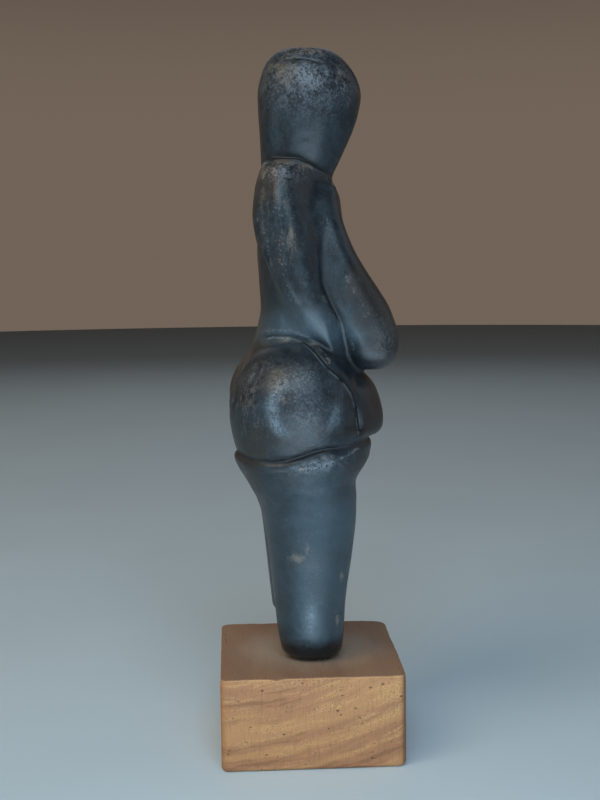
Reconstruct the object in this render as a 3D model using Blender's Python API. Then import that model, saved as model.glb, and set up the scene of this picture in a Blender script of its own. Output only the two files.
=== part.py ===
"""A faceless standing figurine, cast in one piece, on a small square hardwood block.

Metres, +Z up. The figure faces -Y, and the origin is the middle of the block's underside.

The figure is worked out as one blended form. Each limb is an oval whose front, back and
half width are given at a few heights. The limbs are blended where they meet, seams are cut
between them, and rays from an axis inside the body find the skin.
"""
import math

import bmesh
import bpy
import numpy as np

MM = 0.001

# The block, in metres
BLOCK_WIDE = 33.2 * MM          # left to right, along Y in the side view
BLOCK_DEEP = 33.1 * MM
BLOCK_HIGH = 17.1 * MM
BLOCK_CORNER = 1.7 * MM         # upright edges, rubbed round
BLOCK_ARRIS = 0.45 * MM         # edges of the top and the underside
CORNER_STEPS = 4
ARRIS_STEPS = 2
GLUE_GAP = 0.3 * MM             # clear height between the sole and the block

# The figure's form, in millimetres above the block's top
FIGURE_HIGH = 110.9
HIP_HALF_WIDE = 21.4
LEFT_FOOT_LIFT = 5.9            # the left leg is shorter and ends clear of the block

# Sections of each form: height, centre x, front y, back y, half width
TRUNK = [
    (36.0, 0.0, -8.0, 11.5, 12.0),
    (42.0, 0.0, -10.5, 12.4, 15.0),
    (48.0, 0.0, -11.4, 13.2, 15.2),
    (53.0, 0.0, -10.0, 12.1, 14.2),
    (57.0, 0.0, -8.2, 10.3, 13.2),
    (61.0, 0.0, -7.4, 8.8, 12.6),
    (65.0, 0.0, -7.0, 8.1, 12.3),
    (70.0, 0.0, -6.8, 8.35, 11.6),
    (75.0, 0.0, -6.7, 8.7, 10.7),
    (84.0, 0.0, -6.6, 8.6, 9.0),
    (88.0, 0.0, -5.1, 7.9, 6.9),
    (90.0, 0.0, -4.6, 7.4, 5.6),
]
HEAD = [
    (84.0, 0.0, -3.6, 7.0, 4.6),
    (88.5, 0.0, -5.3, 7.5, 5.3),
    (92.0, 0.0, -7.0, 7.6, 6.0),
    (96.0, 0.0, -8.9, 7.8, 6.8),
    (99.2, 0.0, -10.0, 8.0, 7.3),
    (103.0, 0.0, -10.6, 8.1, 7.7),
    (FIGURE_HIGH, 0.0, -10.0, 7.8, 7.6),
]
ARM = [
    (51.5, 9.3, -10.8, -8.6, 0.9),
    (54.0, 9.9, -10.2, -6.0, 1.8),
    (58.0, 10.6, -8.2, -1.6, 2.7),
    (62.0, 10.9, -5.6, 2.0, 3.3),
    (66.0, 11.0, -3.6, 4.5, 3.8),
    (70.0, 10.9, -2.5, 6.1, 4.2),
    (78.0, 10.1, -1.8, 8.7, 4.7),
    (82.0, 9.6, -2.5, 9.2, 4.7),
    (87.0, 8.4, -4.8, 8.6, 4.3),
    (91.6, 7.0, -5.2, 7.5, 4.0),
]
BREAST = [
    (53.9, 7.0, -15.7, -7.2, 6.7),
    (58.8, 7.2, -16.4, -5.6, 7.0),
    (64.0, 7.1, -15.0, -2.9, 6.7),
    (68.0, 6.9, -12.8, -1.6, 6.1),
    (72.0, 6.6, -10.3, -0.7, 5.6),
    (76.0, 6.3, -8.1, -0.1, 5.0),
    (80.0, 5.9, -6.7, 0.3, 4.2),
    (83.0, 5.5, -6.1, 0.5, 3.4),
    (86.0, 5.0, -5.2, 0.2, 1.8),
]
BELLY = [
    (41.2, 0.0, -13.7, 3.0, 14.4),
    (44.5, 0.0, -14.1, 3.0, 14.6),
    (50.0, 0.0, -13.1, 3.0, 14.4),
    (54.5, 0.0, -9.5, 3.0, 10.5),
]
LEG = [
    (0.0, 4.7, -6.2, 5.5, 6.1),
    (10.0, 4.9, -6.6, 6.7, 6.3),
    (21.0, 5.6, -8.0, 7.9, 7.6),
    (26.5, 6.3, -8.5, 8.6, 8.7),
    (30.5, 6.9, -8.6, 9.4, 9.6),
    (33.5, 7.5, -8.4, 10.8, 10.4),
    (39.0, 8.4, -10.9, 13.3, 11.2),
    (44.0, 8.6, -11.3, 12.8, 11.2),
]

# Squareness of the ovals: 2 is round, more is squarer
TRUNK_SQUARE = 2.35
HEAD_SQUARE = 2.25
ARM_SQUARE = 2.1
BREAST_SQUARE = 2.15
BELLY_SQUARE = 2.3
LEG_SQUARE = 2.15

# How far from an end its rounding starts, and the share of the section left flat at the end
CROWN_ROUND = (8.2, 0.34)
SHOULDER_ROUND = (4.4, 0.16)
BREAST_ROUND = (3.6, 0.35)
BELLY_ROUND = (2.6, 0.80)
SOLE_ROUND = (3.2, 0.62)

# Hip dome: radii, the fuller radius below the middle, and the middle
HIP_RADII = (11.7, 12.85, 12.4)
HIP_RADIUS_BELOW = 17.5
HIP_MIDDLE = (HIP_HALF_WIDE - HIP_RADII[0], 1.25, 47.2)

# Width over which two forms are filled where they meet
NECK_FILL = 0.8
ARM_FILL = (0.9, 2.6, 1.2)      # along the arm, more where it melts into the flank, and at the chest
BREAST_FILL = (1.2, 1.2)        # along the breast, more at its root
HIP_FILL = 1.0
WAIST_FILL = (0.8, 1.6)         # over the hips, more at the small of the back
LEGS_FILL = 1.3
THIGH_FILL = 0.5

# Bands over which a fill or a cut comes and goes, in height (UP) or in y (IN)
FLANK_UP, FLANK_IN = (66.0, 60.0), (-4.0, 3.0)
CHEST_UP, CHEST_IN = (60.0, 82.0), (2.0, -4.0)
BREAST_ROOT_UP = (74.0, 84.0)
SMALL_OF_BACK_IN = (6.5, 10.5)
BACK_IN = (2.0, 5.0)
SPINE_LOW_UP, SPINE_HIGH_UP = (54.0, 60.0), (86.0, 80.0)
CLEFT_LOW_UP, CLEFT_HIGH_UP = (40.0, 42.0), (56.0, 47.0)
HIP_SEAM_OUT, HIP_SEAM_IN, HIP_SEAM_UP = (7.0, 10.0), (12.0, 8.5), (42.5, 45.5)

# Seam over the hip in the side view, from the small of the back to the groin: y, height
HIP_SEAM = [
    (11.5, 55.5),
    (8.1, 59.6),
    (6.2, 60.3),
    (3.4, 60.2),
    (1.0, 59.4),
    (-0.8, 57.8),
    (-2.7, 55.4),
    (-6.8, 51.7),
    (-7.7, 49.5),
    (-9.3, 43.2),
]

# Grooves: depth, half width
HIP_SEAM_CUT = (0.6, 0.6)
THIGH_SEAM_CUT = (0.65, 0.6)
SPINE_CUT = (0.55, 2.0)
CLEFT_CUT = (1.1, 1.7)
BREAST_CLEFT = 1.2              # rounds the crease where the breasts meet

# Seam under belly and hips: its height in front, its drop at the flank and behind, and their bands
THIGH_SEAM_HIGH = 41.3
FLANK_DROP, FLANK_DROP_FRONT, FLANK_DROP_BACK = 2.3, (-1.0, 7.0), (14.5, 9.5)
BACK_DROP, BACK_DROP_IN = 0.9, (9.0, 14.0)
HIP_OVERHANG = 0.2              # the hips end this far below the middle of the seam

# Axis inside the body from which the skin is found: height, x, y. Low down it is in the right leg
AXIS = [
    (0.0, -4.4, -0.6),
    (5.0, -3.9, -0.6),
    (9.0, -1.6, -0.6),
    (14.0, 0.0, -0.6),
    (40.0, 0.0, 0.4),
    (55.0, 0.0, -0.5),
    (88.0, 0.0, 1.2),
    (100.0, 0.0, -1.0),
    (FIGURE_HIGH, 0.0, -1.2),
]
LOWEST_LEVEL = 2.4              # rays fan out below this height
HIGHEST_LEVEL = 103.0           # and above this one
REACH = 26.0                    # longer than any ray inside the body

# Facets: rays round the body, level rows, and fanned rows at the sole and the crown
COLUMNS = 70
LEVEL_ROWS = 55
SOLE_FANS = 4
CROWN_FANS = 7
RELAX_ROUNDS = 4                # how often the grid is evened out over the skin
SETTLE_STEPS = 3                # steps that bring a moved point back to the skin
LONGEST_STEP = 0.4
PROBE = 0.02                    # distance over which the form's slope is measured
MARCH_STEPS = 100               # steps inward along a ray before the skin is met
HALVINGS = 20

# Rows lie closer where the form turns sharply: height, spread, extra density
CLOSE_ROWS = [
    (5.8, 1.4, 1.5),
    (40.3, 1.8, 2.6),
    (53.9, 1.6, 2.2),
    (58.5, 3.0, 1.0),
    (89.0, 2.5, 1.2),
]

CAST_COLOUR = (0.030, 0.034, 0.038, 1.0)
CAST_ROUGHNESS = 0.42
WOOD_COLOUR = (0.42, 0.21, 0.105, 1.0)
WOOD_ROUGHNESS = 0.62


def clear_scene():
    """Remove what the start file holds."""
    for item in list(bpy.data.objects):
        bpy.data.objects.remove(item, do_unlink=True)


def plain_material(name, colour, roughness):
    """A Principled material with the piece's own colour."""
    material = bpy.data.materials.new(name)
    material.use_nodes = True
    shader = material.node_tree.nodes["Principled BSDF"]
    shader.inputs["Base Color"].default_value = colour
    shader.inputs["Roughness"].default_value = roughness
    shader.inputs["Metallic"].default_value = 0.0
    return material


def ramp(value, start, end):
    """0 before start, 1 after end, and a smooth rise between them."""
    t = np.clip((value - start) / (end - start), 0.0, 1.0)
    return t * t * (3.0 - 2.0 * t)


def blend(a, b, soft):
    """Union of two forms whose meeting line is filled over a band of soft millimetres."""
    near = np.maximum(soft - np.abs(a - b), 0.0) / soft
    return np.minimum(a, b) - near * near * soft * 0.25


def along(height, rows):
    """Smooth values at any height from rows of (height, values): a cubic that never overshoots."""
    table = np.array(rows, dtype=float)
    at = table[:, 0]
    values = table[:, 1:]
    gap = np.diff(at)[:, None]
    slope = np.diff(values, axis=0) / gap
    product = slope[:-1] * slope[1:]
    total = slope[:-1] + slope[1:]
    steep = np.where(product > 0.0, 2.0 * product / np.where(total == 0.0, 1.0, total), 0.0)
    tangent = np.concatenate([slope[:1], steep, slope[-1:]])
    inside = np.clip(height, at[0], at[-1])
    i = np.clip(np.searchsorted(at, inside, side="right") - 1, 0, len(at) - 2)
    t = ((inside - at[i]) / gap[i, 0])[..., None]
    start = (2.0 * t - 3.0) * t * t + 1.0
    return (
        values[i] * start
        + values[i + 1] * (1.0 - start)
        + tangent[i] * gap[i] * t * (t - 1.0) ** 2
        + tangent[i + 1] * gap[i] * t * t * (t - 1.0)
    )


def end_scale(distance, rounding):
    """Share of the full section at a distance from an end, which is a quarter of an oval."""
    length, flat = rounding
    t = 1.0 - np.clip(distance / length, 0.0, 1.0)
    return flat + (1.0 - flat) * np.sqrt(1.0 - t * t)


def oval_form(x, y, z, rows, square, side=1.0, low=None, high=None, foot=None):
    """Signed distance to a form of oval sections. low and high round its ends, foot is its
    own lowest height, and square is the power of the oval: 2 is round, more is squarer."""
    section = along(z, rows)
    bottom = rows[0][0] if foot is None else foot
    top = rows[-1][0]
    scale = 1.0
    if low:
        scale = scale * end_scale(z - bottom, low)
    if high:
        scale = scale * end_scale(top - z, high)
    across = np.abs(x - side * section[..., 0])
    ahead = np.abs(y - (section[..., 1] + section[..., 2]) / 2.0)
    half_deep = scale * (section[..., 2] - section[..., 1]) / 2.0
    half_wide = scale * section[..., 3]
    size = ((across / half_wide) ** square + (ahead / half_deep) ** square) ** (1.0 / square)
    size = np.maximum(size, 1e-6)
    outside = np.hypot(across, ahead) * (1.0 - 1.0 / size)
    return np.maximum(outside, np.maximum(bottom - z, z - top))


def dome_form(x, y, z):
    """Signed distance to a hip: an ellipsoid, fuller below its middle."""
    across = x - HIP_MIDDLE[0]
    ahead = y - HIP_MIDDLE[1]
    above = z - HIP_MIDDLE[2]
    wide, deep, high = HIP_RADII
    tall = np.where(above > 0.0, high, HIP_RADIUS_BELOW)
    size = np.sqrt((across / wide) ** 2 + (ahead / deep) ** 2 + (above / tall) ** 2)
    slope = np.sqrt((across / wide**2) ** 2 + (ahead / deep**2) ** 2 + (above / tall**2) ** 2)
    return size * (size - 1.0) / np.maximum(slope, 1e-9)


def line_distance(y, z, points):
    """Distance in the side view from a line of points."""
    best = np.full(np.shape(y), REACH)
    for (y0, z0), (y1, z1) in zip(points[:-1], points[1:]):
        run = y1 - y0
        rise = z1 - z0
        share = np.clip(((y - y0) * run + (z - z0) * rise) / (run * run + rise * rise), 0.0, 1.0)
        best = np.minimum(best, np.hypot(y - y0 - share * run, z - z0 - share * rise))
    return best


def cut(distance, depth, half_width):
    """A soft groove along a line at the given distance."""
    return depth * np.exp(-((distance / half_width) ** 2))


def upper_body(x, y, z):
    """Trunk, head, two arms folded forward under the breasts, and the breasts."""
    pair = np.abs(x)
    form = oval_form(x, y, z, TRUNK, TRUNK_SQUARE)
    form = blend(form, oval_form(x, y, z, HEAD, HEAD_SQUARE, high=CROWN_ROUND), NECK_FILL)
    plain, flank, chest = ARM_FILL
    fill = plain + flank * ramp(z, *FLANK_UP) * ramp(y, *FLANK_IN)
    fill = fill + chest * ramp(z, *CHEST_UP) * ramp(y, *CHEST_IN)
    form = blend(form, oval_form(pair, y, z, ARM, ARM_SQUARE, high=SHOULDER_ROUND), fill)
    plain, root = BREAST_FILL
    soft_pair = np.hypot(x, BREAST_CLEFT)
    breast = oval_form(soft_pair, y, z, BREAST, BREAST_SQUARE, low=BREAST_ROUND)
    return blend(form, breast, plain + root * ramp(z, *BREAST_ROOT_UP))


def thigh_seam_height(y):
    """Height of the seam under belly and hips: lower at the flank than at front and back."""
    flank = ramp(y, *FLANK_DROP_FRONT) * ramp(y, *FLANK_DROP_BACK)
    return THIGH_SEAM_HIGH - FLANK_DROP * flank - BACK_DROP * ramp(y, *BACK_DROP_IN)


def figure_form(x, y, z):
    """Signed distance to the whole figure, with its seams."""
    pair = np.abs(x)
    belly = oval_form(x, y, z, BELLY, BELLY_SQUARE, low=BELLY_ROUND)
    hips = blend(belly, dome_form(pair, y, z), HIP_FILL)
    plain, behind = WAIST_FILL
    body = blend(upper_body(x, y, z), hips, plain + behind * ramp(y, *SMALL_OF_BACK_IN))
    seam = thigh_seam_height(y)
    body = np.maximum(body, seam - HIP_OVERHANG - z)
    right = oval_form(x, y, z, LEG, LEG_SQUARE, side=-1.0, low=SOLE_ROUND, foot=GLUE_GAP / MM)
    left = oval_form(x, y, z, LEG, LEG_SQUARE, side=1.0, low=SOLE_ROUND, foot=LEFT_FOOT_LIFT)
    form = blend(body, blend(right, left, LEGS_FILL), THIGH_FILL)
    on_flank = ramp(pair, *HIP_SEAM_OUT) * ramp(y, *HIP_SEAM_IN) * ramp(z, *HIP_SEAM_UP)
    on_spine = ramp(y, *BACK_IN) * ramp(z, *SPINE_LOW_UP) * ramp(z, *SPINE_HIGH_UP)
    at_cleft = ramp(y, *BACK_IN) * ramp(z, *CLEFT_LOW_UP) * ramp(z, *CLEFT_HIGH_UP)
    return (
        form
        + cut(z - seam, *THIGH_SEAM_CUT)
        + cut(line_distance(y, z, HIP_SEAM), *HIP_SEAM_CUT) * on_flank
        + cut(x, *SPINE_CUT) * on_spine
        + cut(x, *CLEFT_CUT) * at_cleft
    )


def row_heights(count):
    """Heights of the level rows, closer together where the form turns sharply."""
    fine = np.linspace(LOWEST_LEVEL, HIGHEST_LEVEL, 2000)
    density = np.ones_like(fine)
    for height, spread, extra in CLOSE_ROWS:
        density = density + extra * np.exp(-(((fine - height) / spread) ** 2))
    total = np.cumsum(density)
    return np.interp(np.linspace(total[0], total[-1], count), total, fine)


def ray_grid():
    """Start and direction of every ray, row by row from the sole to the crown."""
    sole = np.linspace(-90.0, 0.0, SOLE_FANS + 2)[1:-1]
    crown = np.linspace(0.0, 90.0, CROWN_FANS + 2)[1:-1]
    level = row_heights(LEVEL_ROWS)
    height = np.concatenate([np.full(SOLE_FANS, LOWEST_LEVEL), level, np.full(CROWN_FANS, HIGHEST_LEVEL)])
    tilt = np.radians(np.concatenate([sole, np.zeros(LEVEL_ROWS), crown]))
    turn = np.linspace(0.0, math.tau, COLUMNS, endpoint=False)
    tilt, turn_grid = np.meshgrid(tilt, turn, indexing="ij")
    height = np.repeat(height[:, None], COLUMNS, axis=1)
    centre = along(height, AXIS)
    start = np.stack([centre[..., 0], centre[..., 1], height], axis=-1)
    flat = np.cos(tilt)
    way = np.stack([np.cos(turn_grid) * flat, np.sin(turn_grid) * flat, np.sin(tilt)], axis=-1)
    return start, way


def skin_points(start, way):
    """Where each ray leaves the body: march inward from outside, then halve the last step."""
    inner = np.zeros(start.shape[:-1])
    outer = np.full(start.shape[:-1], REACH)
    found = np.zeros(start.shape[:-1], dtype=bool)
    for step in range(1, MARCH_STEPS):
        reach = REACH * (1.0 - step / MARCH_STEPS)
        inside = figure_form(*np.moveaxis(start + way * reach, -1, 0)) < 0.0
        fresh = inside & ~found
        inner[fresh] = reach
        outer[fresh] = reach + REACH / MARCH_STEPS
        found |= inside
    for _ in range(HALVINGS):
        middle = (inner + outer) / 2.0
        inside = figure_form(*np.moveaxis(start + way * middle[..., None], -1, 0)) < 0.0
        inner = np.where(inside, middle, inner)
        outer = np.where(inside, outer, middle)
    return start + way * outer[..., None]


def settled(points):
    """Pull points that are near the skin onto it, by Newton steps along the form's gradient."""
    for _ in range(SETTLE_STEPS):
        height = figure_form(*np.moveaxis(points, -1, 0))
        slope = np.empty_like(points)
        for axis in range(3):
            shift = np.zeros(3)
            shift[axis] = PROBE
            ahead = figure_form(*np.moveaxis(points + shift, -1, 0))
            behind = figure_form(*np.moveaxis(points - shift, -1, 0))
            slope[..., axis] = (ahead - behind) / (2.0 * PROBE)
        steep = np.maximum(np.sum(slope * slope, axis=-1), 0.1)
        points = points - np.clip(height / steep, -LONGEST_STEP, LONGEST_STEP)[..., None] * slope
    return points


def relaxed(points):
    """Even the grid out over the skin: each inner point moves towards its four neighbours."""
    for _ in range(RELAX_ROUNDS):
        sides = np.roll(points, 1, axis=1) + np.roll(points, -1, axis=1)
        middle = (sides[1:-1] + points[:-2] + points[2:]) / 4.0
        moved = points.copy()
        moved[1:-1] = (points[1:-1] + middle) / 2.0
        points = settled(moved)
    return points


def pole_point(height, direction):
    """The skin straight below or above the axis at a height."""
    x, y = along(np.array(height), AXIS)
    start = np.array([[x, y, height]])
    return skin_points(start, np.array([[0.0, 0.0, direction]]))[0]


def add_object(name, mesh, material):
    """Put a mesh in the scene under its own name, with its own material."""
    mesh.materials.append(material)
    item = bpy.data.objects.new(name, mesh)
    bpy.context.scene.collection.objects.link(item)
    return item


def make_figure():
    """The cast figure: one closed skin, placed on the block with the glue gap under its sole."""
    points = relaxed(skin_points(*ray_grid()))
    rows, columns = points.shape[:2]
    poles = [pole_point(LOWEST_LEVEL, -1.0), pole_point(HIGHEST_LEVEL, 1.0)]
    verts = np.concatenate([points.reshape(-1, 3), poles]) * MM
    verts[:, 2] += BLOCK_HIGH
    bottom = rows * columns
    faces = []
    for column in range(columns):
        after = (column + 1) % columns
        faces.append((bottom, after, column))
        for row in range(rows - 1):
            low = row * columns
            high = low + columns
            faces.append((low + column, low + after, high + after, high + column))
        faces.append((bottom + 1, bottom - columns + column, bottom - columns + after))
    mesh = bpy.data.meshes.new("figurine")
    mesh.from_pydata(verts.tolist(), [], faces)
    mesh.shade_smooth()
    return add_object("figurine", mesh, plain_material("charcoal_cast", CAST_COLOUR, CAST_ROUGHNESS))


def edges_by_rise(form):
    """The block's edges, parted into upright and level ones."""
    upright = []
    level = []
    for edge in form.edges:
        rise = abs(edge.verts[0].co.z - edge.verts[1].co.z)
        (upright if rise > BLOCK_HIGH / 2.0 else level).append(edge)
    return upright, level


def round_edges(form, edges, radius, steps):
    """Bevel edges to a quarter round."""
    bmesh.ops.bevel(form, geom=edges, offset=radius, segments=steps, profile=0.5, affect="EDGES")


def make_block():
    """The hardwood block: a cuboid with rubbed upright corners and eased arrises."""
    form = bmesh.new()
    bmesh.ops.create_cube(form, size=1.0)
    bmesh.ops.scale(form, vec=(BLOCK_DEEP, BLOCK_WIDE, BLOCK_HIGH), verts=form.verts)
    bmesh.ops.translate(form, vec=(0.0, 0.0, BLOCK_HIGH / 2.0), verts=form.verts)
    upright, _ = edges_by_rise(form)
    round_edges(form, upright, BLOCK_CORNER, CORNER_STEPS)
    _, rims = edges_by_rise(form)
    round_edges(form, rims, BLOCK_ARRIS, ARRIS_STEPS)
    mesh = bpy.data.meshes.new("wooden_block")
    form.to_mesh(mesh)
    form.free()
    mesh.shade_smooth()
    mesh.set_sharp_from_angle(angle=math.radians(30.0))
    return add_object("wooden_block", mesh, plain_material("block_hardwood", WOOD_COLOUR, WOOD_ROUGHNESS))


clear_scene()
make_block()
make_figure()
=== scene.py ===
# %% [markdown]
# # A faceless standing figurine on a wooden block
#
# The real thing is small: a cast figure 111 mm high, blackened, burnished to a satin sheen and rubbed paler
# where hands have held it, glued on a little block of reddish hardwood. This lesson dresses its packed
# solids. The figure gets a finer skin of the same form, the block gets rubbed corners and real grain, and a
# soft studio light shows both. Sizes of the part are in millimetres and become metres when a mesh is made.
# Lamps and floor are in metres.

import math

import bpy
import numpy as np
from mathutils import Matrix, Vector


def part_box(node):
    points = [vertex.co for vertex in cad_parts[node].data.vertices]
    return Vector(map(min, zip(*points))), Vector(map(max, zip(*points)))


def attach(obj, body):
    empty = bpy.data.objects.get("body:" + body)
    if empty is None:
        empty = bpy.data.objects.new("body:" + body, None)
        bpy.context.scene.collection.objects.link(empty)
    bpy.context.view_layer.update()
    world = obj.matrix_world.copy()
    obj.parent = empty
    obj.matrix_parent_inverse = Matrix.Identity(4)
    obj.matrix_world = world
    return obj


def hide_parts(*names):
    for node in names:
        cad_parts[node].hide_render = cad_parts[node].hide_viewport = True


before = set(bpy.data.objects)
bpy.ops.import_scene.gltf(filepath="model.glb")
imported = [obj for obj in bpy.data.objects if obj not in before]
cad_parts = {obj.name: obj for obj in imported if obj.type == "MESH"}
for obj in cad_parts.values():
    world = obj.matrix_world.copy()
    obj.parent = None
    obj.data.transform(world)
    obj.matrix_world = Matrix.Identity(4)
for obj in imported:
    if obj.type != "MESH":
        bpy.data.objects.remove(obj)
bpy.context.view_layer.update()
MM = 0.001
block_low, block_high = (np.array(corner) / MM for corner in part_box("wooden_block"))
figure_low, figure_high = (np.array(corner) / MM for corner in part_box("figurine"))
BLOCK_TOP = float(block_high[2])
print("block", np.round(block_high - block_low, 1), "mm, figure", np.round(figure_high - figure_low, 1), "mm")

# %% [markdown]
# ## Soft rules for a modelled body
#
# A modelled figure has no hard joints: one limb melts into the next, and a tool then draws seams into the
# surface. Stacked spheres or a subdivided cage could make it, but both lose the thin seams. So each limb is a
# field, a number that is negative inside the limb and grows with distance outside it. Fields are blended with
# a soft minimum, and a seam is a small value added along a line, which moves the skin inwards there.


# %% Ramps, soft unions and smooth tables
def eased(value, start, end):
    """0 before start, 1 after end, and 3t^2 - 2t^3 between them. start may be the greater number."""
    t = np.clip((value - start) / (end - start), 0.0, 1.0)
    return t * t * (3.0 - 2.0 * t)


def melted(a, b, band):
    """The smaller of two fields, lowered by (band - |a - b|)^2 / 4 band where they are nearly equal."""
    near = np.maximum(band - np.abs(a - b), 0.0)
    return np.minimum(a, b) - near * near / (4.0 * band)


def cut_by(a, b, band):
    """The larger of two fields, raised where they are nearly equal: what is left of a inside b."""
    return -melted(-a, -b, band)


def followed(height, stations):
    """Values at any height from rows of (height, values): cubic pieces whose slope at a row is the harmonic
    mean of the slopes on either side, so that a curve never swings past the numbers it is given."""
    table = np.array(stations, dtype=float)
    at = table[:, 0]
    values = table[:, 1:]
    gap = np.diff(at)[:, None]
    slope = np.diff(values, axis=0) / gap
    product = slope[:-1] * slope[1:]
    total = slope[:-1] + slope[1:]
    inner = np.where(product > 0.0, 2.0 * product / np.where(total == 0.0, 1.0, total), 0.0)
    tangent = np.concatenate([slope[:1], inner, slope[-1:]])
    inside = np.clip(height, at[0], at[-1])
    i = np.clip(np.searchsorted(at, inside, side="right") - 1, 0, len(at) - 2)
    t = ((inside - at[i]) / gap[i, 0])[..., None]
    start = (2.0 * t - 3.0) * t * t + 1.0
    return (
        values[i] * start
        + values[i + 1] * (1.0 - start)
        + tangent[i] * gap[i] * t * (t - 1.0) ** 2
        + tangent[i + 1] * gap[i] * t * t * (t - 1.0)
    )


print("half way up a ramp:", eased(np.array([0.5]), 0.0, 1.0))

# %% [markdown]
# ## Limbs as stacks of ovals
#
# Seen from the side, every limb of the figure has a front edge and a back edge, and seen from the front a
# width. Those three numbers at a few heights describe it better than a cage of points, and they can be read
# and changed. The oval between them is a superellipse: with a power of 2 it is round, and above 2 it is
# squarer. The ends are rounded by shrinking the section as a quarter of an oval.


# %% One limb, and the hip dome
def end_share(distance, rounding):
    """Share of the full section at a distance from an end: flat + (1 - flat) sqrt(1 - t^2)."""
    length, flat = rounding
    t = 1.0 - np.clip(distance / length, 0.0, 1.0)
    return flat + (1.0 - flat) * np.sqrt(1.0 - t * t)


def limb(x, y, z, stations, power, side=1.0, low=None, high=None, foot=None):
    """Field of a limb: the point's distance from the oval's middle, times 1 - 1/s, where s is the
    superellipse size that passes through the point. low and high round the ends, foot is its own bottom."""
    section = followed(z, stations)
    bottom = stations[0][0] if foot is None else foot
    top = stations[-1][0]
    share = 1.0
    if low:
        share = share * end_share(z - bottom, low)
    if high:
        share = share * end_share(top - z, high)
    across = np.abs(x - side * section[..., 0])
    ahead = np.abs(y - (section[..., 1] + section[..., 2]) / 2.0)
    half_deep = share * (section[..., 2] - section[..., 1]) / 2.0
    half_wide = share * section[..., 3]
    size = ((across / half_wide) ** power + (ahead / half_deep) ** power) ** (1.0 / power)
    outside = np.hypot(across, ahead) * (1.0 - 1.0 / np.maximum(size, 1e-6))
    return np.maximum(outside, np.maximum(bottom - z, z - top))


def dome(x, y, z, middle, radii, below, ahead):
    """Field of an ellipsoid with other radii below and ahead of its middle: s (s - 1) / |grad s|."""
    side, back, above = x - middle[0], y - middle[1], z - middle[2]
    wide = radii[0]
    deep = np.where(back > 0.0, radii[1], ahead)
    tall = np.where(above > 0.0, radii[2], below)
    size = np.sqrt((side / wide) ** 2 + (back / deep) ** 2 + (above / tall) ** 2)
    slope = np.sqrt((side / wide**2) ** 2 + (back / deep**2) ** 2 + (above / tall**2) ** 2)
    return size * (size - 1.0) / np.maximum(slope, 1e-9)


def stretches(y, z, points):
    """Distance from each straight stretch of a line in the side view, and a number whose sign is the side."""
    for (y0, z0), (y1, z1) in zip(points[:-1], points[1:]):
        run, rise = y1 - y0, z1 - z0
        share = np.clip(((y - y0) * run + (z - z0) * rise) / (run * run + rise * rise), 0.0, 1.0)
        far = np.hypot(y - y0 - share * run, z - z0 - share * rise)
        yield far, run * (z - z0) - rise * (y - y0)


def line_distance(y, z, points):
    """Distance in the side view from a line of points, the smallest over its straight stretches."""
    best = np.inf
    for far, _ in stretches(y, z, points):
        best = np.minimum(best, far)
    return best


def drawn(distance, depth, half_width):
    """What a rounded tool takes off along a line: depth e^-(distance / half width)^2."""
    return depth * np.exp(-((distance / half_width) ** 2))


# %% [markdown]
# ## The figure's own measures
#
# The rows below are the figure as it stands: heights above the block, then the middle's x, the front and back
# y, and the half width. The side profile is what makes it recognisable as its type: an egg-shaped head on no
# real neck, arms that are plain bands, heavy breasts, a hip as wide as the head is high, and tapering legs
# of which only the right one reaches the block. It has no face, hands or feet, and none are added.

# %% Stations of every limb, in millimetres above the block
TRUNK = [
    (36.0, 0.0, -8.0, 11.5, 12.0),
    (42.0, 0.0, -10.5, 12.4, 15.0),
    (48.0, 0.0, -11.4, 13.2, 15.2),
    (53.0, 0.0, -10.0, 12.1, 14.2),
    (57.0, 0.0, -8.2, 10.3, 13.2),
    (61.0, 0.0, -7.4, 8.8, 12.6),
    (65.0, 0.0, -7.0, 8.1, 12.3),
    (70.0, 0.0, -6.8, 8.35, 11.6),
    (75.0, 0.0, -6.7, 8.7, 10.7),
    (84.0, 0.0, -6.6, 8.6, 9.0),
    (88.0, 0.0, -5.1, 7.6, 6.2),
    (90.0, 0.0, -4.6, 7.0, 4.4),
]
HEAD = [
    (84.0, 0.0, -3.6, 7.0, 4.6),
    (88.5, 0.0, -5.3, 7.5, 5.3),
    (92.0, 0.0, -7.0, 7.6, 6.0),
    (96.0, 0.0, -8.9, 7.8, 6.8),
    (99.2, 0.0, -10.0, 8.0, 7.3),
    (103.0, 0.0, -10.6, 8.1, 7.7),
    (110.9, 0.0, -9.3, 8.5, 7.6),
]
ARM = [
    (51.5, 9.3, -10.8, -8.6, 0.9),
    (54.0, 9.9, -10.4, -6.2, 2.5),
    (58.0, 10.6, -8.5, -2.2, 3.5),
    (62.0, 10.9, -5.9, 1.7, 3.8),
    (66.0, 11.0, -3.7, 4.4, 4.0),
    (70.0, 10.9, -2.3, 6.1, 4.4),
    (78.0, 10.1, -2.0, 8.7, 4.9),
    (82.0, 9.6, -2.6, 9.2, 4.9),
    (87.0, 8.4, -5.0, 8.6, 4.5),
    (90.0, 7.2, -5.2, 7.8, 4.0),
    (93.0, 6.4, -5.2, 7.4, 3.6),
]
# the upper arm's flat outer face: height, the face's x, and the y at which it turns to the back and the front
ARM_FACE = [
    (64.0, 15.20, 2.6, -2.6),
    (70.0, 14.80, 4.0, -0.3),
    (78.0, 14.40, 5.0, 1.6),
    (82.0, 13.95, 5.3, 2.7),
    (87.0, 12.35, 5.4, 3.2),
    (93.0, 10.10, 5.4, 2.8),
]
BACK_FACE_SLOPE, FRONT_FACE_SLOPE = 0.85, 0.95
# the breast's flatter outer side: height and the face's x
BREAST_FACE = [(54.0, 13.45), (58.0, 13.85), (63.4, 13.40), (68.8, 12.55)]
BREAST_FACE += [(71.5, 12.0), (76.0, 11.2), (82.0, 9.9)]
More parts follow.
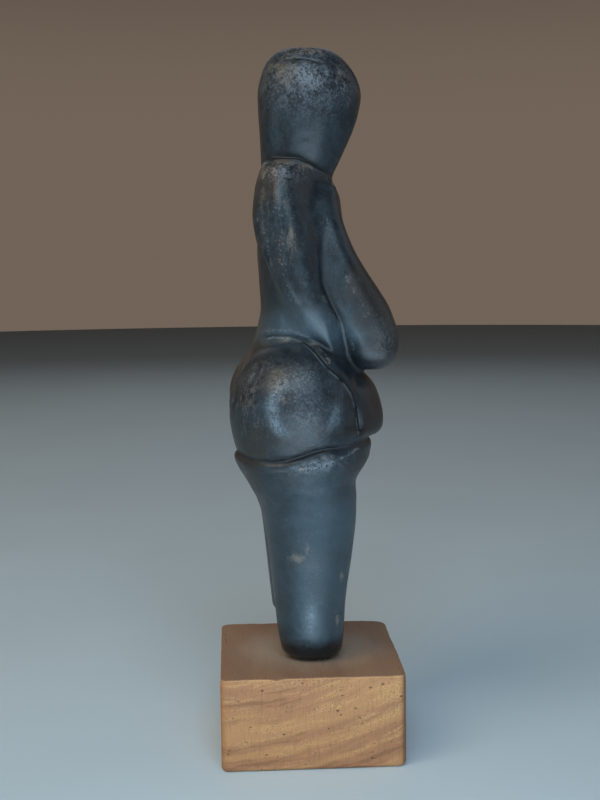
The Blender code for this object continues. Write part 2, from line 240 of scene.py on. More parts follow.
# the edge where the shoulders stop against the neck: y and height
COLLAR_EDGE = [(-7.0, 86.6), (-4.6, 87.9), (-2.5, 89.2), (0.0, 90.5), (2.0, 91.1), (5.0, 91.1), (8.0, 90.3)]
COLLAR_FALL, COLLAR_INNER = 0.20, 6.6     # the shoulder's top falls outwards from this x
BREAST = [
    (53.9, 7.0, -15.7, -7.2, 6.7),
    (58.8, 7.2, -16.4, -5.6, 7.0),
    (64.0, 7.1, -15.0, -2.9, 6.7),
    (68.0, 6.9, -12.8, -0.4, 6.2),
    (72.0, 6.6, -10.3, 0.6, 5.9),
    (76.0, 6.3, -8.1, 1.1, 5.3),
    (80.0, 5.9, -6.7, 1.4, 4.8),
    (83.0, 5.5, -6.1, 1.3, 4.1),
    (86.0, 5.0, -5.2, 0.2, 1.8),
]
BELLY = [
    (41.2, 0.0, -13.7, 3.0, 15.2),
    (44.5, 0.0, -14.1, 3.0, 15.4),
    (50.0, 0.0, -12.8, 3.0, 14.9),
    (54.5, 0.0, -9.1, 3.0, 11.5),
]
LEG = [
    (0.0, 4.1, -6.0, 4.9, 4.5),
    (4.0, 4.6, -6.3, 5.6, 5.7),
    (10.0, 4.9, -6.6, 6.25, 6.3),
    (21.0, 5.6, -8.0, 7.45, 7.6),
    (26.5, 6.3, -8.5, 8.3, 8.7),
    (30.5, 6.9, -8.6, 9.4, 9.6),
    (33.5, 7.5, -8.4, 10.8, 10.4),
    (39.0, 8.4, -10.9, 13.3, 11.2),
    (44.0, 8.6, -11.3, 12.8, 11.2),
]
TRUNK_POWER, HEAD_POWER, ARM_POWER = 2.35, 2.25, 2.4
BREAST_POWER, BELLY_POWER, LEG_POWER = 2.2, 2.4, 2.15
CROWN_ROUND, SOLE_ROUND = (8.8, 0.32), (2.0, 0.40)
BREAST_ROUND, BELLY_ROUND = (3.6, 0.35), (2.6, 0.80)
HIP_RADII, HIP_RADIUS_BELOW, HIP_RADIUS_AHEAD = (11.7, 12.85, 12.4), 17.5, 10.5
HIP_MIDDLE = (9.7, 1.25, 47.2)
LEFT_FOOT_LIFT, LEFT_LEG_BACK = 5.9, 0.55
SOLE_SINK = -0.05               # the right sole meets the wood in a thin bed of glue
FIGURE_HIGH = HEAD[-1][0]
print("figure", FIGURE_HIGH, "mm high,", 2 * (HIP_RADII[0] + HIP_MIDDLE[0]), "mm across the hips")

# %% [markdown]
# ## Seams and shallow valleys
#
# Lines are drawn into the real surface: the curved seam over each hip, the seam under belly and hips, the
# spine, the cleft behind and a few streaks on the hip. Each is a line in the side or front view and a narrow
# bell-shaped cut, and both seams have a raised lip that catches the light. The upper arm is a band with two
# soft crests, so a shallow cut runs down its middle.

# %% Lines drawn into the skin
HIP_SEAM = [(11.5, 55.5), (8.1, 59.6), (6.2, 60.3), (3.4, 60.2), (1.0, 59.4), (-0.8, 57.8), (-2.7, 55.4)]
HIP_SEAM += [(-5.6, 52.9), (-7.2, 50.4), (-8.1, 47.4), (-8.6, 43.2)]
HIP_LIP = [(8.4, 60.6), (6.2, 61.2), (3.2, 61.1), (0.5, 60.2), (-1.5, 58.4), (-3.3, 56.1), (-6.2, 53.6)]
HIP_LIP += [(-7.9, 50.8), (-8.9, 47.6), (-9.4, 44.0)]
ARM_VALLEY = [(4.1, 88.0), (3.7, 80.0), (3.0, 73.0), (1.4, 66.0)]
HIP_STREAKS = [
    [(9.2, 56.2), (10.7, 53.1), (13.0, 48.4)],
    [(10.2, 56.6), (12.1, 52.4), (13.8, 47.0)],
    [(8.2, 55.6), (9.6, 52.0), (11.4, 47.0)],
]
# depth and half width of each cut: a lip is a cut with a depth below zero
HIP_SEAM_CUT, HIP_LIP_RISE = (0.30, 0.36), (-0.07, 0.36)
THIGH_SEAM_CUT, THIGH_LIP_RISE, THIGH_LIP_DROP = (0.55, 0.62), (-0.07, 0.8), 1.5
ARM_VALLEY_CUT, STREAK_CUT = (0.12, 0.9), (0.07, 0.42)
SPINE_CUT, CLEFT_CUT = (0.55, 2.0), (1.1, 1.7)


def thigh_seam_height(y):
    """Height of the seam under belly and hips: lower at the flank than at front and back."""
    flank = eased(y, -3.0, 7.0) * eased(y, 14.5, 9.5)
    return 41.3 - 2.3 * flank - 0.9 * eased(y, 9.0, 14.0) + 0.8 * eased(y, -5.0, -11.0)


def seams(x, y, z):
    """What all the lines take off the skin, with each line faded out where it ends."""
    pair = np.abs(x)
    flank = eased(pair, 7.0, 10.0)
    hip = flank * eased(y, 12.0, 8.5) * eased(z, 42.5, 45.5)
    seam = thigh_seam_height(y)
    taken = drawn(z - seam, *THIGH_SEAM_CUT) + drawn(z - seam + THIGH_LIP_DROP, *THIGH_LIP_RISE)
    taken = taken + hip * drawn(line_distance(y, z, HIP_SEAM), *HIP_SEAM_CUT)
    taken = taken + hip * drawn(line_distance(y, z, HIP_LIP), *HIP_LIP_RISE)
    taken = taken + eased(pair, 10.0, 12.0) * drawn(line_distance(y, z, ARM_VALLEY), *ARM_VALLEY_CUT)
    for streak in HIP_STREAKS:
        taken = taken + eased(pair, 10.0, 13.0) * drawn(line_distance(y, z, streak), *STREAK_CUT)
    back = eased(y, 2.0, 5.0)
    taken = taken + back * eased(z, 54.0, 60.0) * eased(z, 86.0, 80.0) * drawn(x, *SPINE_CUT)
    return taken + back * eased(z, 40.0, 42.0) * eased(z, 56.0, 47.0) * drawn(x, *CLEFT_CUT)


# %% [markdown]
# ## The whole figure as one field
#
# The limbs are joined in the order in which they lie on each other: trunk, head, arms, breasts, then hips and
# legs. The band of each soft union says how far one melts into the next. It is wide where an arm runs into
# the flank and narrow at the collar, where the shoulders end in a crisp edge against the head.

# %% Join the limbs
NECK_BAND, HIP_BAND, LEGS_BAND, THIGH_BAND = 0.6, 0.5, 1.3, 0.5
FACE_BAND, FRONT_BAND, BREAST_FACE_BAND, COLLAR_BAND = 0.35, 0.9, 0.5, 0.45
BREAST_CLEFT = 1.2


def upper_body(x, y, z):
    """Trunk, head, both arms folded forward, and the breasts."""
    pair = np.abs(x)
    form = limb(x, y, z, TRUNK, TRUNK_POWER)
    form = melted(form, limb(x, y, z, HEAD, HEAD_POWER, high=CROWN_ROUND), NECK_BAND)
    into_flank = eased(z, 66.0, 60.0) * eased(y, -4.0, 3.0)
    into_chest = eased(z, 60.0, 82.0) * eased(y, 2.0, -4.0)
    band = (0.9 + 2.8 * into_flank + 1.0 * into_chest) * (1.0 - 0.75 * eased(z, 88.0, 90.0))
    face = followed(z, ARM_FACE)
    over = pair - face[..., 0]
    behind = (over + BACK_FACE_SLOPE * (y - face[..., 1])) / math.hypot(1.0, BACK_FACE_SLOPE)
    ahead = (over + FRONT_FACE_SLOPE * (face[..., 2] - y)) / math.hypot(1.0, FRONT_FACE_SLOPE)
    faces = cut_by(cut_by(over, behind, FACE_BAND), ahead, FRONT_BAND)
    arm = cut_by(limb(pair, y, z, ARM, ARM_POWER), faces, FACE_BAND)
    shoulder = z - followed(y, COLLAR_EDGE)[..., 0] + COLLAR_FALL * (pair - COLLAR_INNER)
    arm = cut_by(arm, shoulder / math.hypot(1.0, COLLAR_FALL), COLLAR_BAND)
    form = melted(form, arm, band)
    soft_pair = np.hypot(x, BREAST_CLEFT)
    breast = limb(soft_pair, y, z, BREAST, BREAST_POWER, low=BREAST_ROUND)
    breast = cut_by(breast, pair - followed(z, BREAST_FACE)[..., 0], BREAST_FACE_BAND)
    return melted(form, breast, 0.7 + 1.2 * eased(z, 76.0, 84.0))


def figure_field(x, y, z):
    """Field of the whole figure with its seams, in millimetres: negative inside."""
    pair = np.abs(x)
    belly = limb(x, y, z, BELLY, BELLY_POWER, low=BELLY_ROUND)
    hip = dome(pair, y, z, HIP_MIDDLE, HIP_RADII, HIP_RADIUS_BELOW, HIP_RADIUS_AHEAD)
    hips = melted(belly, hip, HIP_BAND)
    body = melted(upper_body(x, y, z), hips, 0.8 + 1.6 * eased(y, 6.5, 10.5))
    body = np.maximum(body, thigh_seam_height(y) - 0.2 - z)
    right = limb(x, y, z, LEG, LEG_POWER, side=-1.0, low=SOLE_ROUND, foot=SOLE_SINK)
    further_back = LEFT_LEG_BACK * eased(z, 34.0, 14.0)
    left = limb(x, y - further_back, z, LEG, LEG_POWER, side=1.0, low=SOLE_ROUND, foot=LEFT_FOOT_LIFT)
    return melted(body, melted(right, left, LEGS_BAND), THIGH_BAND) + seams(x, y, z)


def field_at(points):
    """The field at an array of points."""
    return figure_field(*np.moveaxis(points, -1, 0))


probes = np.array([[0.0, -1.0, 100.0], [0.0, -1.0, 115.0]])
print("field in the head's middle and above it:", field_at(probes))

# %% [markdown]
# ## From field to skin
#
# A grid of two parameters is wrapped round the body: one runs round it, the other from sole to crown. Rays
# from an axis inside the body find the first coarse skin. It is then made finer between its own points,
# pulled onto the field by Newton steps and evened out, so that the quads under the breasts and in the seams
# are as small as elsewhere. A marching-cubes mesh would have no such order in its faces.

# %% Rays from the axis
AXIS = [
    (0.0, -4.4, -0.6),
    (5.0, -3.9, -0.6),
    (9.0, -1.6, -0.6),
    (14.0, 0.0, -0.6),
    (40.0, 0.0, 0.4),
    (55.0, 0.0, -0.5),
    (88.0, 0.0, 1.2),
    (100.0, 0.0, -1.0),
    (FIGURE_HIGH, 0.0, -1.2),
]
LOWEST_LEVEL, HIGHEST_LEVEL, REACH = 2.4, 103.0, 26.0
CLOSE_ROWS = [(6.5, 1.8, 1.6), (40.3, 1.8, 2.4), (53.9, 1.6, 1.8), (58.5, 3.0, 1.0), (86.6, 2.5, 2.0)]
# rays near the collar look up and lean back with it: height, spread, rise, and lean towards the back
LEDGE_RAYS = (86.6, 4.2, 0.55, 0.25)
COARSE_COLUMNS, COARSE_LEVELS, COARSE_SOLE, COARSE_CROWN = 96, 84, 6, 10
MARCH_STEPS, HALVINGS = 100, 12


def row_heights(count):
    """Heights of the level rows: their running number is the integral of a density with a few humps."""
    fine = np.linspace(LOWEST_LEVEL, HIGHEST_LEVEL, 2000)
    density = 1.0 + sum(extra * np.exp(-(((fine - at) / spread) ** 2)) for at, spread, extra in CLOSE_ROWS)
    total = np.cumsum(density)
    return np.interp(np.linspace(total[0], total[-1], count), total, fine)


def rays():
    """Start and direction of every ray: level ones between the feet and the head, fanned ones at the ends."""
    sole = np.linspace(-90.0, 0.0, COARSE_SOLE + 2)[1:-1]
    crown = np.linspace(0.0, 90.0, COARSE_CROWN + 2)[1:-1]
    tilt = np.radians(np.concatenate([sole, np.zeros(COARSE_LEVELS), crown]))[:, None]
    ends = np.full(COARSE_SOLE, LOWEST_LEVEL), np.full(COARSE_CROWN, HIGHEST_LEVEL)
    height = np.concatenate([ends[0], row_heights(COARSE_LEVELS), ends[1]])
    turn = np.linspace(0.0, math.tau, COARSE_COLUMNS, endpoint=False)[None, :]
    at, spread, up, lean = LEDGE_RAYS
    near_collar = np.where(tilt == 0.0, np.exp(-(((height[:, None] - at) / spread) ** 2)), 0.0)
    tilt = tilt + near_collar * (up + lean * np.sin(turn))
    level = np.cos(tilt)
    way = np.stack(np.broadcast_arrays(np.cos(turn) * level, np.sin(turn) * level, np.sin(tilt)), axis=-1)
    centre = followed(height, AXIS)
    start = np.concatenate([centre, height[:, None]], axis=1)[:, None, :]
    return np.broadcast_to(start, way.shape), way


def first_skin(start, way):
    """Where each ray leaves the body: march inwards from outside, then halve the last step."""
    inner = np.zeros(start.shape[:-1])
    found = np.zeros(start.shape[:-1], dtype=bool)
    for reach in np.linspace(REACH, 0.0, MARCH_STEPS):
        inside = field_at(start + way * reach) < 0.0
        inner = np.where(inside & ~found, reach, inner)
        found |= inside
    outer = inner + REACH / (MARCH_STEPS - 1)
    for _ in range(HALVINGS):
        middle = (inner + outer) / 2.0
        inside = field_at(start + way * middle[..., None]) < 0.0
        inner = np.where(inside, middle, inner)
        outer = np.where(inside, outer, middle)
    return start + way * outer[..., None]


# %% Newton steps, evening out and refining
PROBE, LONGEST_STEP = 0.03, 0.35


def gradient(points, value):
    """Slope of the field by forward differences over a small probe."""
    steps = [field_at(points + np.eye(3)[axis] * PROBE) - value for axis in range(3)]
    return np.stack(steps, axis=-1) / PROBE


def settled(points, rounds):
    """Pull points onto the skin: p - f grad f / |grad f|^2, with no step longer than a limit."""
    for _ in range(rounds):
        value = field_at(points)
        slope = gradient(points, value)
        steep = np.maximum(np.sum(slope * slope, axis=-1), 0.1)
        points = points - np.clip(value / steep, -LONGEST_STEP, LONGEST_STEP)[..., None] * slope
    return points


def grid_normals(points):
    """Cross product of the grid's two directions, which points outwards on this grid."""
    around = np.roll(points, -1, axis=1) - np.roll(points, 1, axis=1)
    up = np.gradient(points, axis=0)
    normal = np.cross(around, up)
    return normal / np.maximum(np.linalg.norm(normal, axis=-1, keepdims=True), 1e-9)


def evened(points, rounds, settle_rounds):
    """Move each inner point half way to the mean of its four neighbours, along the skin only."""
    for _ in range(rounds):
        sides = np.roll(points, 1, axis=1) + np.roll(points, -1, axis=1)
        shift = np.zeros_like(points)
        shift[1:-1] = ((sides[1:-1] + points[:-2] + points[2:]) / 4.0 - points[1:-1]) / 2.0
        normal = grid_normals(points)
        shift = shift - normal * np.sum(shift * normal, axis=-1, keepdims=True)
        points = settled(points + shift, settle_rounds)
    return points


def refined(points, rows, columns):
    """The same skin on a finer grid, by straight lines between neighbouring points."""
    down = np.linspace(0.0, points.shape[0] - 1.0, rows)
    i = np.minimum(down.astype(int), points.shape[0] - 2)
    share = (down - i)[:, None, None]
    points = points[i] * (1.0 - share) + points[i + 1] * share
    across = np.arange(columns) * points.shape[1] / columns
    j = across.astype(int)
    share = (across - j)[None, :, None]
    return points[:, j] * (1.0 - share) + points[:, (j + 1) % points.shape[1]] * share


# %% Wrap the figure
SKIN_ROWS, SKIN_COLUMNS = 318, 304
COARSE_ROUNDS, FINE_ROUNDS = 10, 4

coarse = evened(first_skin(*rays()), COARSE_ROUNDS, 2)
skin = evened(settled(refined(coarse, SKIN_ROWS, SKIN_COLUMNS), 3), FINE_ROUNDS, 1)
skin = settled(skin, 1)
print("skin grid", skin.shape, "largest error", float(np.abs(field_at(skin)).max().round(3)), "mm")

# %% [markdown]
# ## Hand-made unevenness
#
# No two spots of a cast and burnished skin are equally far out. Broad lumps are noise on a lattice: random
# numbers at the corners of cubes, eased between them. Marks that the real piece shows are stamped one by one:
# small ringed pits on the hip, chips under the seam, a dent in the breast, a crease below the crown and a
# flat polished spot low on the leg. Only marks over about 0.8 mm are mesh. Finer ones belong to the finish.


# %% Lattice noise
def lumps(points, size, seed):
    """Random numbers from -1 to 1 at the corners of cubes of the given size, eased between corners."""
    values = np.random.default_rng(seed).uniform(-1.0, 1.0, (31, 31, 31))
    place = points / size
    cell = np.floor(place).astype(int)
    share = eased(place - cell, 0.0, 1.0)
    total = np.zeros(points.shape[:-1])
    for corner in np.ndindex(2, 2, 2):
        at = np.moveaxis((cell + corner) % 31, -1, 0)
        weight = np.prod(np.where(corner, share, 1.0 - share), axis=-1)
        total = total + weight * values[tuple(at)]
    return total


# %% Marks of use, on the right side as photographed and a few of the same kind on the left
LUMP_LAYERS = [(7.0, 0.10, 1), (3.0, 0.035, 2), (1.3, 0.014, 3)]
# side, y, height, radius, depth, rim
MARKS = [
    (-1, 6.2, 50.5, 0.55, 0.13, 0.07),
    (-1, 4.6, 50.5, 0.60, 0.15, 0.06),
    (-1, 3.6, 51.1, 0.45, 0.10, 0.06),
    (-1, 5.5, 49.3, 0.45, 0.08, 0.05),
    (-1, 5.5, 56.6, 0.50, 0.10, 0.00),
    (-1, 8.4, 56.0, 0.60, 0.08, 0.00),
    (-1, 1.9, 38.0, 0.80, 0.22, 0.04),
    (-1, -2.0, 39.6, 0.60, 0.18, 0.03),
    (-1, -3.0, 39.9, 0.45, 0.14, 0.02),
    (-1, -6.9, 70.9, 0.55, 0.16, 0.00),
    (-1, 0.8, 70.2, 0.55, -0.10, 0.00),
    (-1, -0.3, 69.9, 0.45, -0.08, 0.00),
    (-1, 3.8, 73.6, 0.50, 0.08, 0.00),
    (-1, -4.9, 104.0, 1.20, 0.12, 0.00),
    (-1, -5.8, 107.0, 0.90, 0.10, 0.00),
    (1, 3.0, 98.0, 0.90, 0.12, 0.00),
    (1, -2.4, 47.0, 0.60, 0.13, 0.05),
    (1, 4.0, 44.4, 0.50, 0.10, 0.04),
    (1, 2.8, 62.8, 0.70, 0.12, 0.00),
    (1, -1.5, 24.0, 0.80, 0.12, 0.00),
    (1, -10.5, 60.5, 0.60, 0.12, 0.00),
]
CROWN_CREASE = [(3.4, 108.3), (1.6, 108.5), (-0.6, 108.3), (-2.4, 107.8)]
CREASE_CUT = (0.09, 0.60)
LEG_FACET = (0.0, 9.1, 1.5, 4.2, 0.20)     # y, height, half width, half height, depth
PIT_COUNT, PIT_SEED, PIT_RADII, PIT_DEPTHS = 230, 11, (0.4, 0.6), (0.03, 0.09)


def on_side(points, side, y, height):
    """The outermost skin point of one side at a place of the side view."""
    flat = points.reshape(-1, 3)
    near = np.hypot(flat[:, 1] - y, flat[:, 2] - height) < 0.5
    return flat[near][np.argmax(flat[near][:, 0] * side)]


def stamped(points, centre, radius, depth, rim):
    """A bell-shaped hollow with a raised ring round it."""
    distance = np.linalg.norm(points - centre, axis=-1)
    ring = np.exp(-(((distance - 1.25 * radius) / (0.4 * radius)) ** 2))
    return rim * ring - depth * np.exp(-((distance / radius) ** 4))


def marks_of_use(points):
    """How far every skin point is moved out by the lumps, the marks and the small pits."""
    x, y, z = np.moveaxis(points, -1, 0)
    out = sum(height * lumps(points, size, seed) for size, height, seed in LUMP_LAYERS)
    for side, at_y, at_z, radius, depth, rim in MARKS:
        out = out + stamped(points, on_side(points, side, at_y, at_z), radius, depth, rim)
    right = eased(x, -3.0, -4.5)
    out = out - right * drawn(line_distance(y, z, CROWN_CREASE), *CREASE_CUT)
    at_y, at_z, wide, high, depth = LEG_FACET
    spot = ((y - at_y) / wide) ** 4 + ((z - at_z) / high) ** 4
    out = out - right * depth * np.exp(-spot)
    rng = np.random.default_rng(PIT_SEED)
    flat = points.reshape(-1, 3)
    liking = 0.15 + eased(flat[:, 2], 96.0, 102.0) + 0.8 * eased(np.abs(flat[:, 0]), 14.0, 18.0)
    chosen = rng.choice(len(flat), PIT_COUNT, replace=False, p=liking / liking.sum())
    radii = rng.uniform(*PIT_RADII, PIT_COUNT)
    depths = rng.uniform(*PIT_DEPTHS, PIT_COUNT)
    for centre, radius, depth in zip(flat[chosen], radii, depths):
        out = out + stamped(points, centre, radius, depth, 0.0)
    return out


outward = grid_normals(skin)
worked = skin + outward * marks_of_use(skin)[..., None]
print("moved out by at most", float(np.abs(worked - skin).max().round(2)), "mm")

# %% [markdown]
# ## What the finish needs to know
#
# Hollows are painted darker, as the shade that falls in them. The field already knows where these are: a
# little way off the skin along its normal, the field is less than that distance over a hollow. Hands rub,
# polish and bare other places, which are given here as soft spots, worn lines and two arcs on the hip. Many
# of these are also painted paler, as highlights and sheen where the skin catches the light. All of it is
# stored as numbers on the mesh's points, which a shader can read as attributes.

# %% Hollows, lines and rubbed places
FEELER, LINE_REACH = 1.2, 3.0
# rubbed places, paler partly from real wear and partly as a painted highlight on the head, the crown and the
# hip
# x, y, height, then radii, then strength
RUBBED_AND_HIGHLIGHTS = [
    (-7.6, -0.6, 103.8, 5.0, 5.6, 4.6, 1.0),
    (-6.0, 5.4, 104.8, 4.0, 1.8, 3.6, 0.6),
    (-6.0, -6.6, 104.0, 4.0, 1.8, 4.0, 0.6),
    (-11.0, 3.6, 88.4, 4.0, 3.4, 1.6, 0.8),
    (-18.6, 5.0, 52.6, 5.0, 2.6, 2.6, 0.5),
    (-19.8, 0.8, 48.6, 5.0, 4.6, 4.6, 0.42),
    (-18.8, 1.6, 53.6, 5.0, 3.2, 2.6, 0.40),
    (-6.5, -0.6, 109.8, 5.0, 6.5, 1.6, 0.9),
    (-13.6, -13.4, 59.0, 4.0, 2.0, 4.4, 0.40),
    (-19.4, -0.5, 38.4, 5.0, 5.0, 1.2, 0.8),
    (-11.6, -5.2, 8.0, 4.0, 0.8, 5.0, 0.4),
    (7.0, -3.0, 103.5, 5.0, 6.0, 5.0, 0.8),
    (20.6, 2.0, 49.0, 5.0, 5.0, 5.0, 0.8),
    (13.5, 2.0, 80.0, 4.0, 3.0, 8.0, 0.5),
    (7.5, -16.0, 59.0, 5.0, 4.0, 5.0, 0.7),
    (0.0, 13.0, 48.0, 12.0, 4.0, 4.0, 0.4),
]
# places where the black is rubbed through to the paler body
BARED = [
    (-14.9, 3.1, 76.8, 3.0, 1.3, 3.6, 0.55),
    (-14.5, 3.4, 83.0, 4.0, 1.6, 4.0, 0.30),
    (-10.0, 7.6, 81.0, 5.0, 1.6, 7.0, 0.42),
    (-12.6, 2.4, 20.7, 3.0, 1.8, 0.8, 0.85),
    (-13.3, 0.7, 22.6, 3.0, 0.45, 1.6, 0.80),
    (-19.4, 1.9, 37.9, 2.0, 0.8, 0.35, 0.75),
    (-19.4, -2.4, 39.7, 2.0, 1.0, 0.35, 0.45),
    (-9.8, -5.6, 16.8, 2.0, 0.40, 1.0, 1.1),
    (-9.1, -4.8, 8.2, 2.0, 0.40, 1.2, 1.0),
    (-20.5, 4.9, 50.2, 3.0, 2.2, 1.1, 0.40),
    (-16.5, 10.2, 49.0, 4.0, 2.8, 6.5, 0.40),
    (-17.0, 7.6, 55.0, 4.0, 2.4, 3.4, 0.32),
    (-9.0, 7.6, 88.6, 4.0, 2.0, 2.4, 0.60),
    (-9.0, 1.0, 89.6, 5.0, 6.0, 1.0, 0.42),
    (-5.5, -0.5, 110.0, 4.0, 5.0, 1.0, 0.60),
    (-5.0, 5.6, 107.2, 2.5, 1.2, 1.2, 0.60),
    (-5.5, -6.4, 105.5, 3.0, 1.8, 4.0, 0.35),
    (14.5, 1.5, 74.0, 3.0, 1.5, 3.0, 0.55),
    (20.9, 0.5, 45.0, 3.0, 2.0, 1.6, 0.45),
    (12.0, -2.0, 17.0, 3.0, 1.4, 2.0, 0.5),
]
COLLAR_WEAR = (1.0, 0.65)                   # strength and half width of the worn collar edge
# lines in the side view that hands and cloth have worn, many also painted paler as highlights along crests
# and edges: points, half width, strength
WORN_AND_LIT_LINES = [
    ([(5.5, 89.0), (5.3, 85.4), (5.0, 79.6), (4.7, 73.6), (3.4, 67.1)], 0.90, 0.24),
    ([(3.2, 88.8), (3.0, 84.4), (1.7, 78.5), (-0.1, 69.8), (-1.8, 65.6)], 0.70, 0.16),
    ([(9.1, 81.8), (7.6, 78.0), (6.3, 72.0)], 0.30, 0.40),
    ([(-3.0, 80.6), (-5.4, 74.6), (-7.0, 69.0), (-10.4, 63.8)], 0.70, 0.26),
    (HIP_LIP[:6], 0.35, 0.65),
    ([(-2.6, 67.0), (-4.2, 64.0), (-6.2, 61.0), (-8.0, 57.6)], 0.70, 0.42),
    ([(9.2, 55.6), (10.7, 52.6), (13.0, 47.8)], 0.32, 0.50),
    ([(11.0, 56.4), (12.6, 52.0), (14.0, 47.4)], 0.32, 0.40),
    ([(8.0, 56.0), (9.2, 52.4), (11.0, 48.4)], 0.32, 0.35),
    ([(2.6, 37.6), (-1.0, 38.2), (-4.6, 39.4), (-8.0, 40.8)], 0.35, 0.60),
]
# the hip's polished arcs are also painted paler, as the sheen where they catch the light
HIP_POLISH_AND_SHEEN = (1.4, 48.4, 5.4, 1.0)          # y, height, radius and width of the polished arc
# smooth polished places, painted with a paler sheen, low on the right leg, given as the rubbed ones are
POLISHED_AND_SHEEN_SPOTS = [
    (-11.2, 0.0, 9.3, 4.0, 1.15, 4.0, 1.0),
    (-12.4, 0.0, 19.0, 4.0, 2.2, 9.0, 0.20),
    (-14.0, -0.8, 34.0, 5.0, 3.0, 5.0, 0.14),
    (-10.5, -1.0, 62.5, 6.0, 5.0, 3.5, 0.24),
]


def spots(points, places):
    """The strongest of several soft spots, each e^-(scaled distance)^2."""
    best = np.zeros(points.shape[:-1])
    for place in places:
        scaled = (points - np.array(place[:3])) / np.array(place[3:6])
        best = np.maximum(best, place[6] * np.exp(-np.sum(scaled**2, axis=-1)))
    return best


def worn_and_lit_lines(x, y, z):
    """The strongest of several worn and painted-highlight lines, e^-(distance / half width)^2, on the body's
    outer side.
    """
    pair = np.abs(x)
    level = z + COLLAR_FALL * (pair - COLLAR_INNER)
    best = eased(pair, 6.6, 7.8) * drawn(line_distance(y, level, COLLAR_EDGE[1:-1]), *COLLAR_WEAR)
    for line, half_width, strength in WORN_AND_LIT_LINES:
        best = np.maximum(best, drawn(line_distance(y, z, line), strength, half_width))
    return best * eased(pair, 4.0, 6.5)


def hip_polish_and_sheen(x, y, z):
    """Two polished arcs round the hip's boss, painted as a sheen: a bright one behind and a shorter, fainter
    one ahead.
    """
    at_y, at_z, radius, wide = HIP_POLISH_AND_SHEEN
    across, above = y - at_y, z - at_z
    distance = np.hypot(across, above)
    behind = 0.85 * eased(across / radius, 0.2, 0.9) * eased(above, 8.0, 2.0)
    ahead = 0.50 * eased(-across / radius, 0.4, 0.9) * eased(above, 2.0, -1.0)
    share = np.maximum(behind * eased(above, -6.0, -3.0), ahead * eased(above, -5.0, -2.5))
    return share * np.exp(-(((distance - radius) / wide) ** 2)) * eased(np.abs(x), 13.0, 17.0)


def side_of_line(y, z, points):
    """Distance in the side view from a line of points, negative on the right of its direction."""
    best = np.full(np.shape(y), LINE_REACH)
    for far, turned in stretches(y, z, points):
        best = np.where(far < np.abs(best), far * np.sign(turned), best)
    return best


def fine_lines(x, y, z):
    """Signed distance from the nearest thin drawn line. The sign turns on the line, so it stays crisp."""
    pair = np.abs(x)
    hip = side_of_line(y, z, HIP_SEAM)
    hip = np.where((pair > 8.5) & (y < 11.0) & (z > 43.0), hip, LINE_REACH)
    crown = np.where(x < -3.0, -np.abs(side_of_line(y, z, CROWN_CREASE)), -LINE_REACH)
    return np.where(np.abs(hip) < np.abs(crown), hip, crown)


def finish_maps(points, normal):
    """Numbers for every skin point: the distance from a line, and all the others from 0 to 1."""
    x, y, z = np.moveaxis(points, -1, 0)
    over = field_at(points + normal * FEELER) / FEELER
    polish_and_sheen = hip_polish_and_sheen(x, y, z)
    return {
        "hollow": np.clip((1.0 - over) * 1.6, 0.0, 1.0),
        "line": fine_lines(x, y, z),
        "rubbed_and_highlight": np.maximum(spots(points, RUBBED_AND_HIGHLIGHTS), 0.5 * polish_and_sheen),
        "polish_and_sheen": np.maximum(polish_and_sheen, spots(points, POLISHED_AND_SHEEN_SPOTS)),
        "worn_and_lit_edge": worn_and_lit_lines(x, y, z),
        "bared": spots(points, BARED),
    }


maps = finish_maps(skin, outward)
for title, values in maps.items():
    print(title, "mean", float(values.mean().round(3)), "highest", float(values.max().round(2)))


# %% [markdown]
# ## A mesh from a grid
#
# Both pieces are grids that close on themselves: the columns run round, and the first and last rows are drawn
# together at a pole. One function makes the faces for both, so their normals all point outwards.


# %% Close a grid into a piece
def piece_from_grid(name, points, values=None):
    """Quads between neighbouring rows and columns, and a fan of triangles to a pole at each end."""
    rows, columns = points.shape[:2]
    number = np.arange(rows * columns).reshape(rows, columns)
    after = np.roll(number, -1, axis=1)
    quads = np.stack([number[:-1], after[:-1], after[1:], number[1:]], axis=-1).reshape(-1, 4)
    low, high = rows * columns, rows * columns + 1
    fans = [(low, b, a) for a, b in zip(number[0].tolist(), after[0].tolist())]
    fans += [(high, a, b) for a, b in zip(number[-1].tolist(), after[-1].tolist())]
    poles = np.stack([points[0].mean(axis=0), points[-1].mean(axis=0)])
    verts = np.concatenate([points.reshape(-1, 3), poles]) * MM
    mesh = bpy.data.meshes.new(name)
    mesh.from_pydata(verts.tolist(), [], quads.tolist() + fans)
    for title, grid in (values or {}).items():
        ends = [grid[0].mean(), grid[-1].mean()]
        data = mesh.attributes.new(title, "FLOAT", "POINT").data
        data.foreach_set("value", np.concatenate([grid.ravel(), ends]).astype(np.float32))
    mesh.shade_smooth()
    item = bpy.data.objects.new(name, mesh)
    bpy.context.scene.collection.objects.link(item)
    return item


# %% Make the figure's piece
rise = np.array([0.0, 0.0, BLOCK_TOP])
inside_low = np.minimum(figure_low, [figure_low[0], figure_low[1], BLOCK_TOP + SOLE_SINK])
placed = np.clip(worked + rise, inside_low, figure_high)
figure = piece_from_grid("figure_skin", placed, maps)
print(len(figure.data.vertices), "points and", 2 * len(figure.data.polygons), "triangles at most")

# %% [markdown]
# ## The block
#
# A rectangular offcut, sanded by hand: its upright corners are rounded by different amounts, its top arrises
# are nearly sharp but not straight, and one tiny splinter is missing. A bevelled cube would have four equal
# corners. Here the plan is a loop of straight stretches and quarter circles, and the height profile carries
# that loop from the middle of the underside, up the sides and in to the middle of the top.

